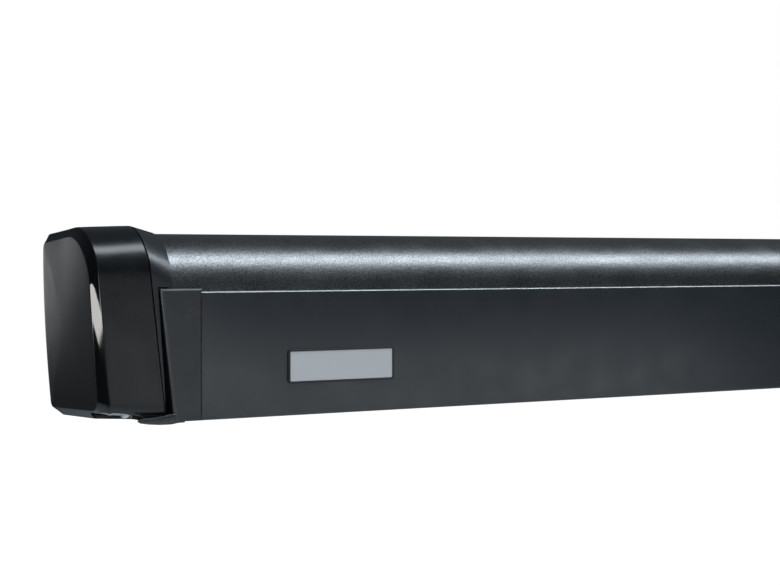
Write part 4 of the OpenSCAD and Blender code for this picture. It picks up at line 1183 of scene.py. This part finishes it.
# %% [markdown]
# ## Rivets, grip ribs and treads
#
# Rivets hold the cast knuckles in the arm tubes, ribs give the clamp levers a grip, and the feet have
# treads. All of them repeat one small shape, so a Geometry Nodes tree sets that shape on points. The
# points are the vertices of a bare mesh, and an attribute says which way a rivet faces. The result is
# turned into a plain mesh for each body.

# %% Node tree for rivets
SPHERE_SEGMENTS, SPHERE_RINGS = 14, 8


def node_group(name, sizes):
    """A Geometry Nodes tree with named sizes and a finish, and its input node."""
    tree = bpy.data.node_groups.new(name, "GeometryNodeTree")
    kinds = [("Geometry", "Geometry"), *[(size, "Float") for size in sizes], ("Finish", "Material")]
    for label, kind in kinds:
        tree.interface.new_socket(label, in_out="INPUT", socket_type="NodeSocket" + kind)
    tree.interface.new_socket("Geometry", in_out="OUTPUT", socket_type="NodeSocketGeometry")
    return tree, tree.nodes.new("NodeGroupInput")


def set_on_points(tree, given, shape, entries=None):
    """End a tree: the shape on each point, made real, with its finish."""
    placed = add_node(tree, "GeometryNodeInstanceOnPoints", {
        "Points": (given, "Geometry"), "Instance": shape, **(entries or {})})
    real = add_node(tree, "GeometryNodeRealizeInstances", {"Geometry": placed})
    dressed = add_node(tree, "GeometryNodeSetMaterial", {"Geometry": real, "Material": (given, "Finish")})
    add_node(tree, "NodeGroupOutput", {0: dressed})
    return tree


def rivet_tree():
    """Domed heads on points, turned by the points' facing attribute."""
    tree, given = node_group("domed_rivets", ("Head Radius", "Head Height"))
    ball = add_node(tree, "GeometryNodeMeshUVSphere", {
        "Segments": SPHERE_SEGMENTS, "Rings": SPHERE_RINGS, "Radius": (given, "Head Radius")})
    flatness = maths(tree, "DIVIDE", (given, "Head Height"), (given, "Head Radius"))
    flatten = add_node(tree, "ShaderNodeCombineXYZ", {"X": 1.0, "Y": 1.0, "Z": flatness})
    dome = add_node(tree, "GeometryNodeTransform", {"Geometry": ball, "Scale": flatten})
    facing = add_node(tree, "GeometryNodeInputNamedAttribute", {"Name": "facing"}, data_type="FLOAT_VECTOR")
    turned = add_node(tree, "FunctionNodeAlignRotationToVector", {"Vector": (facing, "Attribute")}, axis="Z")
    return set_on_points(tree, given, dome, {"Rotation": turned})


def grown(name, points, tree, values, body, facings=None):
    """Run a tree on points and keep the result as a plain mesh on a body."""
    mesh = bpy.data.meshes.new(name)
    mesh.from_pydata(points, [], [])
    if facings:
        facing = mesh.attributes.new("facing", "FLOAT_VECTOR", "POINT")
        facing.data.foreach_set("vector", [c for f in facings for c in f])
    piece = mesh_piece(name, mesh)
    modifier = piece.modifiers.new(tree.name, "NODES")
    modifier.node_group = tree
    identifiers = {item.name: item.identifier for item in tree.interface.items_tree if item.in_out == "INPUT"}
    for label, value in values.items():
        modifier[identifiers[label]] = value
    settle(piece, 40.0)
    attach(piece, body)
    print(name, "faces:", len(piece.data.polygons))


# %% Rivets of the arms
ARM_UP = Vector((0, -0.17365, 0.98481))
TUBE_HALF_HEIGHT = 0.017
TUBE_MIDDLES = {"upper_arm": (-0.0299, -0.0300), "forearm": (-0.05156, -0.03382)}
RIVET_PLACES = (0.801, 0.787, 0.081, 0.067)
RIVET_VALUES = {"Head Radius": 0.0026, "Head Height": 0.0009, "Finish": coats["zinc_steel"]}

rivets = rivet_tree()
for side, sign in (("left", -1), ("right", 1)):
    for arm, (y, z) in TUBE_MIDDLES.items():
        middles = [Vector((sign * x, y, z)) for x in RIVET_PLACES for _ in range(2)]
        facings = [ARM_UP, -ARM_UP] * len(RIVET_PLACES)
        points = [m + TUBE_HALF_HEIGHT * f for m, f in zip(middles, facings)]
        grown(f"{side}_{arm}_rivets", points, rivets, RIVET_VALUES, f"{side}_{arm}", facings)

# %% [markdown]
# A rib is a rounded bar. The second tree makes it from a line that is swept with a circle, thinner at its
# ends. It lies along Y on each point and needs no facing.

# %% Node tree for ribs
RIB_STEPS, RIB_SIDES = 9, 10
RIB_END_SHARE, RIB_TAPER = 0.35, 0.12


def rib_tree():
    """Rounded bars along Y on points."""
    tree, given = node_group("rounded_ribs", ("Rib Length", "Rib Radius"))
    start, end = (
        add_node(tree, "ShaderNodeCombineXYZ", {"Y": maths(tree, "MULTIPLY", (given, "Rib Length"), share)})
        for share in (-0.5, 0.5))
    line = add_node(tree, "GeometryNodeCurvePrimitiveLine", {"Start": start, "End": end})
    finer = add_node(tree, "GeometryNodeResampleCurve", {"Curve": line, "Count": RIB_STEPS})
    share = add_node(tree, "GeometryNodeSplineParameter")
    taper = add_node(tree, "ShaderNodeFloatCurve", {"Value": (share, "Factor")})
    curve = taper.mapping.curves[0]
    for place in (RIB_TAPER, 1 - RIB_TAPER):
        curve.points.new(place, 1.0)
    curve.points[0].location = (0.0, RIB_END_SHARE)
    curve.points[-1].location = (1.0, RIB_END_SHARE)
    taper.mapping.update()
    thickness = maths(tree, "MULTIPLY", taper, (given, "Rib Radius"))
    ring = add_node(tree, "GeometryNodeCurvePrimitiveCircle", {"Resolution": RIB_SIDES, "Radius": 1.0})
    bar = add_node(tree, "GeometryNodeCurveToMesh", {
        "Curve": finer, "Profile Curve": ring, "Scale": thickness, "Fill Caps": True})
    return set_on_points(tree, given, bar)


# %% Grip ribs and treads
GRIP_COUNT, GRIP_PITCH, GRIP_RADIUS, GRIP_MARGIN = 5, 0.004, 0.0007, 0.0016
TREAD_COUNT, TREAD_PITCH, TREAD_RADIUS, TREAD_MARGIN = 7, 0.0045, 0.0010, 0.0012

ribs = rib_tree()
for side, sign in (("left", 1), ("right", -1)):
    low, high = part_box(f"{side}_leg_lever")
    tip = low.x if sign > 0 else high.x
    grips = [(tip + sign * GRIP_PITCH * (k + 1), (low.y + high.y) / 2, low.z) for k in range(GRIP_COUNT)]
    grip_values = {"Rib Length": high.y - low.y - GRIP_MARGIN, "Rib Radius": GRIP_RADIUS,
                   "Finish": coats["moulded_black"]}
    grown(f"{side}_lever_grip", grips, ribs, grip_values, f"{side}_leg_lever")
    low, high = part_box(f"{side}_foot")
    sole = high.x if sign > 0 else low.x
    treads = [(sole, (low.y + high.y) / 2, low.z + TREAD_PITCH * (k + 1)) for k in range(TREAD_COUNT)]
    tread_values = {"Rib Length": high.y - low.y - TREAD_MARGIN, "Rib Radius": TREAD_RADIUS,
                    "Finish": coats["seal_rubber"]}
    grown(f"{side}_foot_tread", treads, ribs, tread_values, f"{side}_foot")

# %% [markdown]
# ## Size
#
# The box round everything that is drawn, apart from the floor, is the size of the dressed part, and it is
# printed.

# %% Size
low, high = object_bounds()
print("Visual size:", [round(v, 4) for v in high - low])
